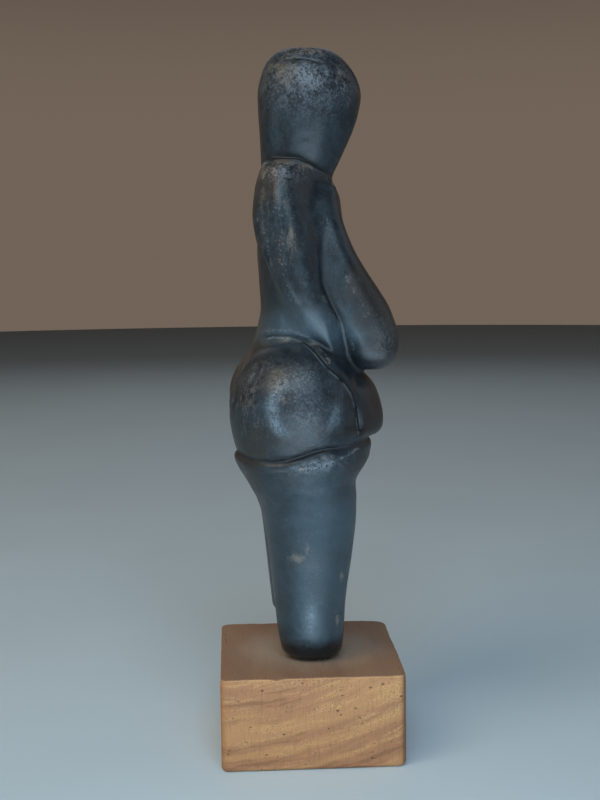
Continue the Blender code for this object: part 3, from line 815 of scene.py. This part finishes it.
# %% Plan loop and profile
CORNERS = [(1, 1, 2.0), (-1, 1, 1.4), (-1, -1, 1.6), (1, -1, 3.1)]      # x side, y side, radius
CORNER_POINTS, SIDE_POINTS = 14, 66
ARRIS, FOOT_ARRIS = 0.30, 0.9
SIDE_ROWS, ARRIS_ROWS, CAP_ROWS = 40, 7, 26
SPLINTER_PLACE, SPLINTER_RADII = np.array([-16.4, 6.6, BLOCK_TOP]), np.array([0.7, 0.9, 0.5])
SPLINTER_DEPTH = 0.35
WEAR_INWARDS, WEAR_DOWN = 0.5, 0.8          # shares of the wear taken off sideways and from above


def plan_loop():
    """Points round the plan, anticlockwise from above, and the outward direction at each."""
    half = (block_high - block_low)[:2] / 2.0
    middle = (block_high + block_low)[:2] / 2.0
    points = []
    ways = []
    for number, (side_x, side_y, radius) in enumerate(CORNERS):
        turn = math.atan2(side_y, side_x) + np.linspace(-math.pi / 4.0, math.pi / 4.0, CORNER_POINTS)
        way = np.stack([np.cos(turn), np.sin(turn)], axis=-1)
        points.append(middle + (half - radius) * (side_x, side_y) + way * radius)
        ways.append(way)
        next_x, next_y, next_radius = CORNERS[(number + 1) % 4]
        first = points[-1][-1]
        last = middle + (half - next_radius) * (next_x, next_y) + way[-1] * next_radius
        share = np.linspace(0.0, 1.0, SIDE_POINTS + 2)[1:-1, None]
        points.append(first * (1.0 - share) + last * share)
        ways.append(np.repeat(way[-1:], SIDE_POINTS, axis=0))
    return np.concatenate(points), np.concatenate(ways)


def profile():
    """Rows of (inset, height, share towards the middle), from the underside's middle to the top's."""
    high = BLOCK_TOP
    cap = np.linspace(1.0, 0.03, CAP_ROWS)
    turns = np.linspace(0.0, math.pi / 2.0, ARRIS_ROWS)[1:]
    rows = [(FOOT_ARRIS, 0.0, 1.0 - share) for share in cap[::-1]]
    rows += [(FOOT_ARRIS * (1 - math.sin(t)), FOOT_ARRIS * (1 - math.cos(t)), 0.0) for t in turns]
    rows += [(0.0, h, 0.0) for h in np.linspace(FOOT_ARRIS, high - ARRIS, SIDE_ROWS)[1:]]
    rows += [(ARRIS * (1 - math.cos(t)), high - ARRIS * (1 - math.sin(t)), 0.0) for t in turns]
    rows += [(ARRIS, high, 1.0 - share) for share in cap[1:]]
    return np.array(rows)


def block_grid():
    """The loop carried along the profile: every point, and the outward direction of its column."""
    loop, way = plan_loop()
    rows = profile()
    inset, height, share = rows[:, 0, None, None], rows[:, 1, None], rows[:, 2, None, None]
    flat = (loop - way * inset) * (1.0 - share)
    points = np.concatenate([flat, np.broadcast_to(height[..., None], flat.shape[:2] + (1,))], axis=-1)
    return points, np.broadcast_to(way, flat.shape)


def arris_wear(points):
    """How far the top's arrises are worn, with one splinter gone."""
    near_top = eased(points[..., 2], BLOCK_TOP - 1.4, BLOCK_TOP - 0.1)
    near_edge = eased(np.max(np.abs(points[..., :2]), axis=-1), 14.6, 16.0)
    wear = 0.05 + 0.10 * lumps(points, 4.0, 21) + 0.08 * lumps(points, 1.5, 22)
    splinter = np.exp(-np.sum(((points - SPLINTER_PLACE) / SPLINTER_RADII) ** 2, axis=-1))
    return np.maximum(wear, 0.0) * near_top * near_edge + SPLINTER_DEPTH * splinter


grid, away = block_grid()
dip = arris_wear(grid)
grid[..., :2] -= away * (WEAR_INWARDS * dip)[..., None]
grid[..., 2] -= dip * WEAR_DOWN
uneven = (0.03 + 0.03 * lumps(grid, 6.0, 23)) * eased(grid[..., 2], 0.0, 1.0)
grid[..., :2] -= away * uneven[..., None]
block = piece_from_grid("block_of_wood", grid)
print("block piece:", len(block.data.vertices), "points")


# %% [markdown]
# ## Finishes written as formulas
#
# Node graphs grow unreadable when every addition is a node placed by hand. The small class below stands for
# one socket, and Python's own operators add the Math nodes, so that a mask can be written as it is thought.


# %% A socket that can be reckoned with
class Wire:
    """One output of a node. Adding, taking away, multiplying and powers add Math nodes."""

    def __init__(self, finish, socket):
        self.finish = finish
        self.socket = socket

    def scaled(self, factor):
        """A vector times one number or three."""
        triple = factor if isinstance(factor, tuple) else (factor, factor, factor)
        return self.finish.node("ShaderNodeVectorMath", {"operation": "MULTIPLY"}, self, triple)

    def parts(self):
        """The three numbers of a vector."""
        node = self.finish.tree.nodes.new("ShaderNodeSeparateXYZ")
        self.finish.set(node.inputs[0], self)
        return [Wire(self.finish, socket) for socket in node.outputs]


def give_operator(method, operation):
    """Let a wire take one of Python's operators on either side of it."""

    def reckoned(first, second):
        wire = first if isinstance(first, Wire) else second
        return wire.finish.node("ShaderNodeMath", {"operation": operation}, first, second)

    setattr(Wire, f"__{method}__", reckoned)
    setattr(Wire, f"__r{method}__", lambda wire, other: reckoned(other, wire))


for method, operation in [("add", "ADD"), ("sub", "SUBTRACT"), ("mul", "MULTIPLY"), ("pow", "POWER")]:
    give_operator(method, operation)


class Finish:
    """A material and its nodes. node() adds any node: its kind, its settings, then its sockets' values."""

    def __init__(self, name):
        self.material = bpy.data.materials.new(name)
        self.material.use_nodes = True
        self.tree = self.material.node_tree
        self.shader = self.tree.nodes["Principled BSDF"]
        self.place = self.node("ShaderNodeTexCoord", {}, out="Object").scaled(1.0 / MM)

    def set(self, socket, value):
        """Link a wire to a socket, or write a plain value into it."""
        if isinstance(value, Wire):
            self.tree.links.new(value.socket, socket)
        else:
            socket.default_value = value

    def node(self, kind, settings, *values, out=0, **named):
        """A node's chosen output. Values fill the first sockets in order, named ones go by identifier."""
        node = self.tree.nodes.new(kind)
        for setting, value in settings.items():
            setattr(node, setting, value)
        for socket, value in zip(node.inputs, values):
            self.set(socket, value)
        by_identifier = {socket.identifier: socket for socket in node.inputs}
        for title, value in named.items():
            self.set(by_identifier[title], value)
        return Wire(self, node.outputs[out])

    def finished(self, colour, rough, relief, sheen):
        """Wire up the shader. The relief is in millimetres and becomes a bump of that real height."""
        bump = self.node("ShaderNodeBump", {}, 1.0, MM, Height=relief)
        values = {"Base Color": colour, "Roughness": rough, "Normal": bump, "Specular IOR Level": sheen}
        for title, value in values.items():
            self.set(self.shader.inputs[title], value)
        return self.material


print("a wire adds nodes for + - * and powers")


# %% Patterns that both finishes use
def noise(place, size, detail=2.0, rough=0.5):
    """Cloudy noise from 0 to 1 whose lumps are about size millimetres across."""
    named = {"Vector": place, "Scale": 1.0 / size, "Detail": detail, "Roughness": rough}
    return place.finish.node("ShaderNodeTexNoise", {"noise_dimensions": "3D"}, **named)


def cells(place, size, out):
    """One output of a pattern of cells about size millimetres wide."""
    settings = {"voronoi_dimensions": "3D", "feature": "F1"}
    near = place.scaled(1.0 / size)
    return place.finish.node("ShaderNodeTexVoronoi", settings, Vector=near, Scale=1.0, out=out)


def cell_chance(place, size):
    """A random number from 0 to 1 for every cell."""
    return place.finish.node("ShaderNodeSeparateColor", {}, cells(place, size, "Color"))


def risen(value, start, end):
    """0 before start, 1 after end, with an eased rise, by a Map Range node."""
    if start > end:
        return 1.0 - risen(value, end, start)
    settings = {"interpolation_type": "SMOOTHSTEP"}
    return value.finish.node("ShaderNodeMapRange", settings, value, start, end, 0.0, 1.0)


def joined(first, second, third):
    """A vector of three numbers, of which the first is a wire."""
    return first.finish.node("ShaderNodeCombineXYZ", {}, first, second, third)


def magnitude(first, *others):
    """Distance from zero: the root of the sum of squares."""
    total = first * first
    for other in others:
        total = total + other * other
    return total**0.5


def mixed(share, first, second):
    """Two colours by share, through a Mix node."""
    named = {"Factor_Float": share, "A_Color": first, "B_Color": second}
    return share.finish.node("ShaderNodeMix", {"data_type": "RGBA"}, out=2, **named)


def coated(colour, coats):
    """A colour under coats of other colours, each with the share of it that covers."""
    for share, coat in coats:
        colour = mixed(share, colour, coat)
    return colour


# %% [markdown]
# ## The blackened skin
#
# The black is cold: a slate blue on legs and flanks, deeper on the arms, brown where it is dull. Towards
# the front and back the brown is also a painted warm reflection. On the legs the slate is partly a painted
# sheen, and it fades on their back side as painted shade. A paler body shows in specks where it is worn
# through. The sheen is a satin one, broken by a fine speckle on the head, the hip and the breast, and by
# curved burnishing strokes low on the hip. Highlights on lips, crests and polished places, and the shade
# in hollows and drawn lines, are painted into the colour too.

# %% Charcoal cast
SLATE_LEG = (0.036, 0.058, 0.073, 1.0)
COLD_BLACK = (0.010, 0.014, 0.018, 1.0)
BROWN_BLACK = (0.022, 0.017, 0.014, 1.0)
NIGHT = (0.004, 0.005, 0.006, 1.0)
# a paler slate for wear, also used for painted highlights
WORN_AND_LIT_SLATE = (0.165, 0.175, 0.200, 1.0)
# the colour of a painted sheen, for polished places and the seam's lip
PAINTED_SHEEN = (0.180, 0.225, 0.260, 1.0)
TAN_BODY = (0.260, 0.205, 0.160, 1.0)
SHEEN_LEVEL = 0.5


def charcoal_finish():
    """Slate and cold black by height, brown by drift, a worn slate speckle, tan specks, painted shade in
    hollows.
    """
    cast = Finish("charcoal_cast")
    place = cast.place
    hollow, line, rubbed_and_highlight, polish_and_sheen, worn_and_lit_edge, bared = (
        cast.node("ShaderNodeAttribute", {"attribute_name": title}, out="Fac") for title in maps
    )
    drift = noise(place, 9.0, 3.0)
    cloud = noise(place, 2.2, 4.0, 0.6)
    crumb = noise(place, 0.36, 2.0)
    coarse_grain, fine_grain = cell_chance(place, 0.42), cell_chance(place, 0.19)
    speck = 0.5 + 0.30 * (coarse_grain - 0.5) + 0.24 * (fine_grain - 0.5) + 0.40 * (crumb - 0.5)
    strand = noise(place.scaled((1.0, 1.0, 0.28)), 0.9, 3.0, 0.6)
    _, ahead, tall = place.parts()
    height = tall - BLOCK_TOP
    mottle = risen(cloud + 0.4 * (crumb - 0.5), 0.36, 0.64)
    leg = risen(height + 6.0 * (drift - 0.5), 41.0, 28.0)
    # painted shade: the legs' paler slate, itself partly a painted sheen, fades on their back side
    leg = leg * (1.0 - 0.65 * risen(ahead + 3.0 * (drift - 0.5), 0.8, 4.6)) * (0.75 + 0.25 * mottle)
    flank = risen(height + 8.0 * (drift - 0.5), 68.0, 60.0) * risen(height, 57.5, 60.5)
    slate = leg + (0.85 * flank + 0.28 * mottle) * (1.0 - leg)
    # painted reflection: towards the front and back the skin is made browner, as a warm reflection
    outer = 0.25 * risen(ahead, -4.0, -12.0) + 0.12 * risen(ahead, 4.0, 10.0)
    dull_and_warm_reflection = risen(drift + 0.45 * (cloud - 0.5) + outer, 0.52, 0.78)
    light = risen(speck + 0.35 * (cloud - 0.5) + 0.06 * rubbed_and_highlight, 0.44, 0.70)
    broken = risen(worn_and_lit_edge + 1.3 * (speck - 0.5) + 0.9 * (cloud - 0.5), 0.30, 0.85)
    through = risen(bared + 0.6 * (speck - 0.5) + 1.3 * (strand - 0.5), 0.18, 0.90)
    pits = risen(speck + 0.35 * (cloud - 0.5), 0.44, 0.28) * risen(rubbed_and_highlight, 0.10, 0.50)
    off_line = magnitude(line)
    # painted shade: a dark line along the drawn seam and the crown crease, as the shadow in their groove
    line_shade = (0.45 + 0.40 * mottle) * risen(off_line, 0.24, 0.06)
    # painted highlight: a pale line on the lip beside the drawn seam, where it catches the light
    lip_highlight = risen(line, 0.16, 0.30) * risen(line, 0.62, 0.36) * risen(cloud + 0.5 * (crumb - 0.5), 0.36, 0.52)
    # shade paints the shadow that falls in hollows and along the drawn lines, and it also darkens the pits
    shade = 1.0 - (1.0 - 0.70 * pits) * (1.0 - 0.85 * hollow) * (1.0 - line_shade)
    sole = risen(height + 1.6 * (cloud - 0.5), 5.4, 2.6)
    coats = [
        (slate, SLATE_LEG),
        (dull_and_warm_reflection * (0.75 - 0.45 * leg), BROWN_BLACK),
        (risen(speck, 0.58, 0.80) * 0.07, WORN_AND_LIT_SLATE),
        # rubbed places: paler partly as wear and partly as a painted highlight
        (rubbed_and_highlight * (0.05 + 0.58 * light), WORN_AND_LIT_SLATE),
        # painted sheen: polished arcs on the hip and spots on the leg are made paler where they catch the
        # light
        (polish_and_sheen * (0.50 + 0.35 * light), PAINTED_SHEEN),
        # worn and lit lines: paler, partly as wear and partly as a painted highlight along crests and edges
        (broken * 0.50, mixed(risen(drift, 0.46, 0.60), WORN_AND_LIT_SLATE, TAN_BODY)),
        (through * 0.45, TAN_BODY),
        (lip_highlight * 0.55, PAINTED_SHEEN),
        # painted shade and the dark pits go towards NIGHT, and the legs turn nearly black towards their soles
        (1.0 - (1.0 - shade) * (1.0 - 0.90 * sole), NIGHT),
    ]
    rough = 0.36 + 0.20 * (cloud - 0.5) + 0.20 * shade + 0.08 * dull_and_warm_reflection - 0.04 * polish_and_sheen + 0.10 * through
    arc_y, arc_z, _, _ = HIP_POLISH_AND_SHEEN
    radius = magnitude(ahead - arc_y, height - arc_z)
    strokes = noise(joined(radius * 1.9, height * 0.2, ahead * 0.2), 1.0, 2.0)
    low_arc = risen(radius, 3.0, 5.0) * risen(radius, 9.0, 6.5) * risen(height, 47.5, 44.5)
    relief = 0.045 * (cloud - 0.5) + 0.040 * (crumb - 0.5) * (0.4 + rubbed_and_highlight) - 0.02 * pits
    relief = relief + 0.100 * (strokes - 0.5) * low_arc - 0.06 * risen(off_line, 0.30, 0.02) + 0.04 * lip_highlight
    return cast.finished(coated(COLD_BLACK, coats), rough - 0.10 * sole, relief, SHEEN_LEVEL)


figure.data.materials.append(charcoal_finish())
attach(figure, "root")
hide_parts("figurine")
print("figure dressed")

# %% [markdown]
# ## Hardwood cut across and along
#
# The grain of the block runs from the side we look at to the far side, so two faces show the ends of the
# fibres and the others show them lengthwise. A picture on each face could never meet at the edges. Instead
# the pattern is solid: every point of the block has its colour, and the faces are cuts through it. Growth
# layers curve round a heart far above. Within them run thin wavy bands of yellowish soft tissue with small
# dark pores, crossed by fine upright rays, and all of it is stretched along the grain.

# %% Block wood
HEART = (22.0, 96.0)            # y and height of the tree's heart, in millimetres
GRAIN_STRETCH = 0.035
WOOD_PALE = (0.510, 0.250, 0.106, 1.0)
WOOD_RED = (0.405, 0.184, 0.088, 1.0)
WOOD_DARK = (0.130, 0.056, 0.026, 1.0)
BAND_YELLOW = (0.620, 0.345, 0.145, 1.0)
# painted light: the orange the block's sides take from a warm light
SIDE_LIGHT_ORANGE = (0.420, 0.160, 0.055, 1.0)
TOP_GREY = (0.310, 0.265, 0.220, 1.0)
TOP_BROWN = (0.215, 0.125, 0.085, 1.0)
WOOD_SHEEN = 0.30


def hardwood_finish():
    """Curved growth layers, broken yellow bands, pores and rays along the grain, and a darker handled top.
    The top's darkness is partly painted shade, and the sides' orange and the arris line are painted light.
    """
    wood = Finish("block_hardwood")
    place = wood.place
    along_x, ahead, height = place.parts()
    fibre = place.scaled((GRAIN_STRETCH, 1.0, 1.0))
    bend = noise(place.scaled((0.15, 1.0, 1.0)), 8.0, 2.0)
    waver = noise(fibre, 1.1, 2.0)
    layer = magnitude(ahead - HEART[0], HEART[1] - height) + 1.8 * bend + 0.45 * waver + 0.03 * along_x
    season = noise(joined(layer, 0.02 * along_x, 0.03 * ahead), 3.4, 1.0)
    band = noise(joined(layer, 0.02 * along_x, 0.10 * ahead), 0.75, 2.0, 0.6)
    squiggle = noise(joined(GRAIN_STRETCH * along_x, 0.60 * ahead, layer), 0.24, 2.0, 0.6)
    near_line = 1.0 - risen(magnitude(squiggle - 0.5), 0.03, 0.10)
    yellow = near_line * risen(band + 0.35 * (season - 0.5), 0.48, 0.66)
    ray = noise(joined(0.12 * along_x, ahead, 0.10 * height), 0.26, 1.0)
    thread = noise(fibre, 0.28, 3.0, 0.6)
    pore_distance = cells(fibre.scaled((1.0, 0.8, 1.3)), 1.25, "Distance") * 1.25
    pore = risen(pore_distance + 0.10 * (squiggle - 0.5), 0.30, 0.16)
    pore = pore * risen(cell_chance(fibre, 1.25) + 0.3 * yellow, 0.72, 0.86)
    speckle = risen(squiggle, 0.40, 0.28) * risen(band, 0.42, 0.56)
    boundary = risen(band, 0.44, 0.36) * risen(season, 0.62, 0.40)
    # painted light: the long sides and upright corners are made a brighter orange, as lit by a warm light
    orange_lit_side = risen(magnitude(ahead) + 0.8 * (bend - 0.5), 15.2, 16.6)
    # the corner between the front and the -y side is made darker
    darker_front_corner = risen(ahead, -15.5, -16.4) * risen(along_x, -13.0, -15.5)
    # the top is darker and greyer by its normal: partly its handled finish, partly painted shade of a face
    # the light reaches less
    normal_up = wood.node("ShaderNodeNewGeometry", {}, out="Normal").parts()[2]
    on_top = risen(normal_up, 0.35, 0.8)
    # painted highlight: a thin yellow line just below the top arrises
    arris_highlight = risen(normal_up, 0.10, 0.35) * risen(height, BLOCK_TOP - 1.2, BLOCK_TOP - 0.4)
    stain = noise(place.scaled((0.6, 1.0, 1.0)), 7.0, 3.0)
    middle = risen(magnitude(along_x, ahead) + 9.0 * (stain - 0.5), 16.0, 7.0)
    coats = [
        (risen(season + 0.35 * (bend - 0.5), 0.34, 0.66), WOOD_PALE),
        (boundary * 0.34, WOOD_DARK),
        (yellow * 0.80, BAND_YELLOW),
        (risen(ray, 0.50, 0.70) * 0.16, WOOD_DARK),
        (speckle * 0.50, WOOD_DARK),
        (risen(thread, 0.56, 0.78) * 0.35, WOOD_DARK),
        (pore * 0.80, WOOD_DARK),
        (orange_lit_side * 0.45, SIDE_LIGHT_ORANGE),
        (darker_front_corner * 0.65, WOOD_DARK),
        (on_top * 0.70, mixed(middle * 0.85, TOP_BROWN, TOP_GREY)),
        ((arris_highlight - on_top * arris_highlight) * (0.25 + 0.6 * thread), BAND_YELLOW),
    ]
    rough = 0.62 + 0.15 * (thread - 0.5) + 0.08 * yellow - 0.08 * on_top
    relief = 0.03 * (thread - 0.5) - 0.06 * pore - 0.02 * speckle + 0.010 * yellow
    return wood.finished(coated(WOOD_RED, coats), rough, relief - 0.012 * risen(ray, 0.55, 0.75), WOOD_SHEEN)


block.data.materials.append(hardwood_finish())
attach(block, "root")
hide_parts("wooden_block")
print("block dressed")

# %% [markdown]
# ## Floor, light and camera
#
# One lamp would leave a satin black figure as a shape with a spot on it, because such a skin shows what
# stands round it. So the light is built as a small photo tent. A wide cool sheet hangs above the camera and a
# warm one to its left, and dim ones stand level with the figure. A flat one on the floor and a low one just
# above it light the legs, as a pale table does. Nothing hangs straight above. Three weak fills stand round
# the far side, so that a view from there shows the form too.

# %% Floor and backdrop
FLOOR_RADIUS = 1.4
FLOOR_DIM, FLOOR_BRIGHT = (0.57, 0.67, 0.73, 1.0), (0.63, 0.73, 0.79, 1.0)
BAND_COLOUR, ABOVE_COLOUR = (0.165, 0.126, 0.097, 1.0), (0.024, 0.021, 0.019, 1.0)
BAND_TOP, BAND_END = 0.10, 0.42          # sines of the elevations between which the backdrop darkens


def pale_floor():
    """A round pale floor, far wider than the view."""
    turn = np.linspace(0.0, math.tau, 96, endpoint=False)
    rim = np.stack([np.cos(turn) * FLOOR_RADIUS, np.sin(turn) * FLOOR_RADIUS, np.zeros_like(turn)], axis=-1)
    mesh = bpy.data.meshes.new("floor")
    mesh.from_pydata(rim.tolist(), [], [list(range(len(rim)))])
    item = bpy.data.objects.new("floor", mesh)
    bpy.context.scene.collection.objects.link(item)
    finish = Finish("pale_floor")
    cloudy = noise(finish.place, 60.0, 2.0)
    finish.set(finish.shader.inputs["Base Color"], mixed(cloudy, FLOOR_DIM, FLOOR_BRIGHT))
    finish.set(finish.shader.inputs["Roughness"], 0.62)
    mesh.materials.append(finish.material)
    return item


floor = pale_floor()


def backdrop():
    """A warm grey band round the horizon that darkens upwards."""
    world = bpy.data.worlds.new("backdrop")
    world.use_nodes = True
    tree = world.node_tree
    way = tree.nodes.new("ShaderNodeTexCoord")
    parts = tree.nodes.new("ShaderNodeSeparateXYZ")
    rise = tree.nodes.new("ShaderNodeMapRange")
    blend = tree.nodes.new("ShaderNodeMix")
    rise.interpolation_type = "SMOOTHSTEP"
    rise.inputs["From Min"].default_value = BAND_TOP
    rise.inputs["From Max"].default_value = BAND_END
    blend.data_type = "RGBA"
    blend.inputs[6].default_value = BAND_COLOUR
    blend.inputs[7].default_value = ABOVE_COLOUR
    tree.links.new(way.outputs["Generated"], parts.inputs[0])
    tree.links.new(parts.outputs["Z"], rise.inputs["Value"])
    tree.links.new(rise.outputs["Result"], blend.inputs[0])
    tree.links.new(blend.outputs[2], tree.nodes["Background"].inputs["Color"])
    bpy.context.scene.world = world


backdrop()

# %% Light panels
AIM = Vector((0.0, 0.0, 0.065))
LOW_AIM = Vector((0.0, 0.0, 0.020))
STRAIGHT_UP = Vector((-0.125, -0.005, 1.0))
COOL, WARM, SKY, PLAIN = (0.60, 0.82, 1.0), (1.0, 0.87, 0.66), (0.45, 0.75, 1.0), (0.90, 0.95, 1.0)


def panel(name, place, size, watts, tint, aim=AIM):
    """An oblong light, wide and high, that faces the figure and doesn't show in the picture."""
    lamp = bpy.data.lights.new(name, "AREA")
    lamp.shape = "RECTANGLE"
    lamp.size, lamp.size_y = size
    lamp.energy = watts
    lamp.color = tint
    item = bpy.data.objects.new(name, lamp)
    item.location = place
    item.rotation_euler = (aim - Vector(place)).to_track_quat("-Z", "Y").to_euler()
    item.visible_camera = False
    bpy.context.scene.collection.objects.link(item)
    return item


def around(azimuth, elevation, distance):
    """A place at a distance from the aim: azimuth from the camera's side towards the picture's left."""
    turn, rise_by = math.radians(azimuth), math.radians(elevation)
    way = Vector((-math.cos(turn) * math.cos(rise_by), math.sin(turn) * math.cos(rise_by), math.sin(rise_by)))
    return AIM + way * distance


# name, place, width and height in metres, watts, tint, and what it faces if not the aim
panel("high_sheet", around(0.0, 45.0, 0.55), (0.30, 0.30), 1.45, COOL)
panel("high_left_sheet", around(50.0, 45.0, 0.55), (0.30, 0.30), 1.10, WARM)
panel("level_sheet", around(18.0, 14.0, 0.55), (0.26, 0.26), 0.10, SKY)
panel("left_sheet", around(62.0, 8.0, 0.55), (0.22, 0.16), 0.22, SKY)
panel("right_sheet", around(-75.0, 14.0, 0.55), (0.26, 0.26), 0.05, PLAIN)
panel("table_sheet", (-0.125, -0.005, 0.002), (0.13, 0.13), 0.11, COOL, STRAIGHT_UP)
panel("low_sheet", (-0.15, -0.01, 0.038), (0.13, 0.05), 0.085, COOL, LOW_AIM)
panel("front_fill", around(-110.0, 30.0, 0.70), (0.40, 0.40), 0.22, PLAIN)
panel("far_fill", around(180.0, 35.0, 0.70), (0.50, 0.50), 0.35, PLAIN)
panel("back_fill", around(120.0, 30.0, 0.70), (0.40, 0.40), 0.25, WARM)

# %% Camera
CAMERA_PLACE = Vector((-221.0, 13.1, 90.8)) * MM
YAW, PITCH, ROLL = (math.radians(angle) for angle in (-3.13, 6.74, -0.63))
FOCAL_PIXELS, PICTURE_HIGH, SENSOR = 1200.0, 800.0, 36.0


def photograph_camera():
    """Forward from yaw and pitch, level right and up turned by the roll."""
    forward = Vector((math.cos(YAW) * math.cos(PITCH), math.sin(YAW) * math.cos(PITCH), -math.sin(PITCH)))
    level = Vector((math.sin(YAW), -math.cos(YAW), 0.0))
    above = level.cross(forward)
    right = math.cos(ROLL) * level + math.sin(ROLL) * above
    up = math.cos(ROLL) * above - math.sin(ROLL) * level
    view = bpy.data.cameras.new("photograph")
    view.sensor_fit = "AUTO"
    view.sensor_width = SENSOR
    view.lens = SENSOR * FOCAL_PIXELS / PICTURE_HIGH
    view.clip_start = 0.01
    view.clip_end = 10.0
    item = bpy.data.objects.new("photograph", view)
    item.matrix_world = Matrix.Translation(CAMERA_PLACE) @ Matrix((right, up, -forward)).transposed().to_4x4()
    bpy.context.scene.collection.objects.link(item)
    return item


bpy.context.scene.camera = photograph_camera()
bpy.context.scene.view_settings.view_transform = "Standard"
print("camera at", tuple(round(value, 3) for value in CAMERA_PLACE))
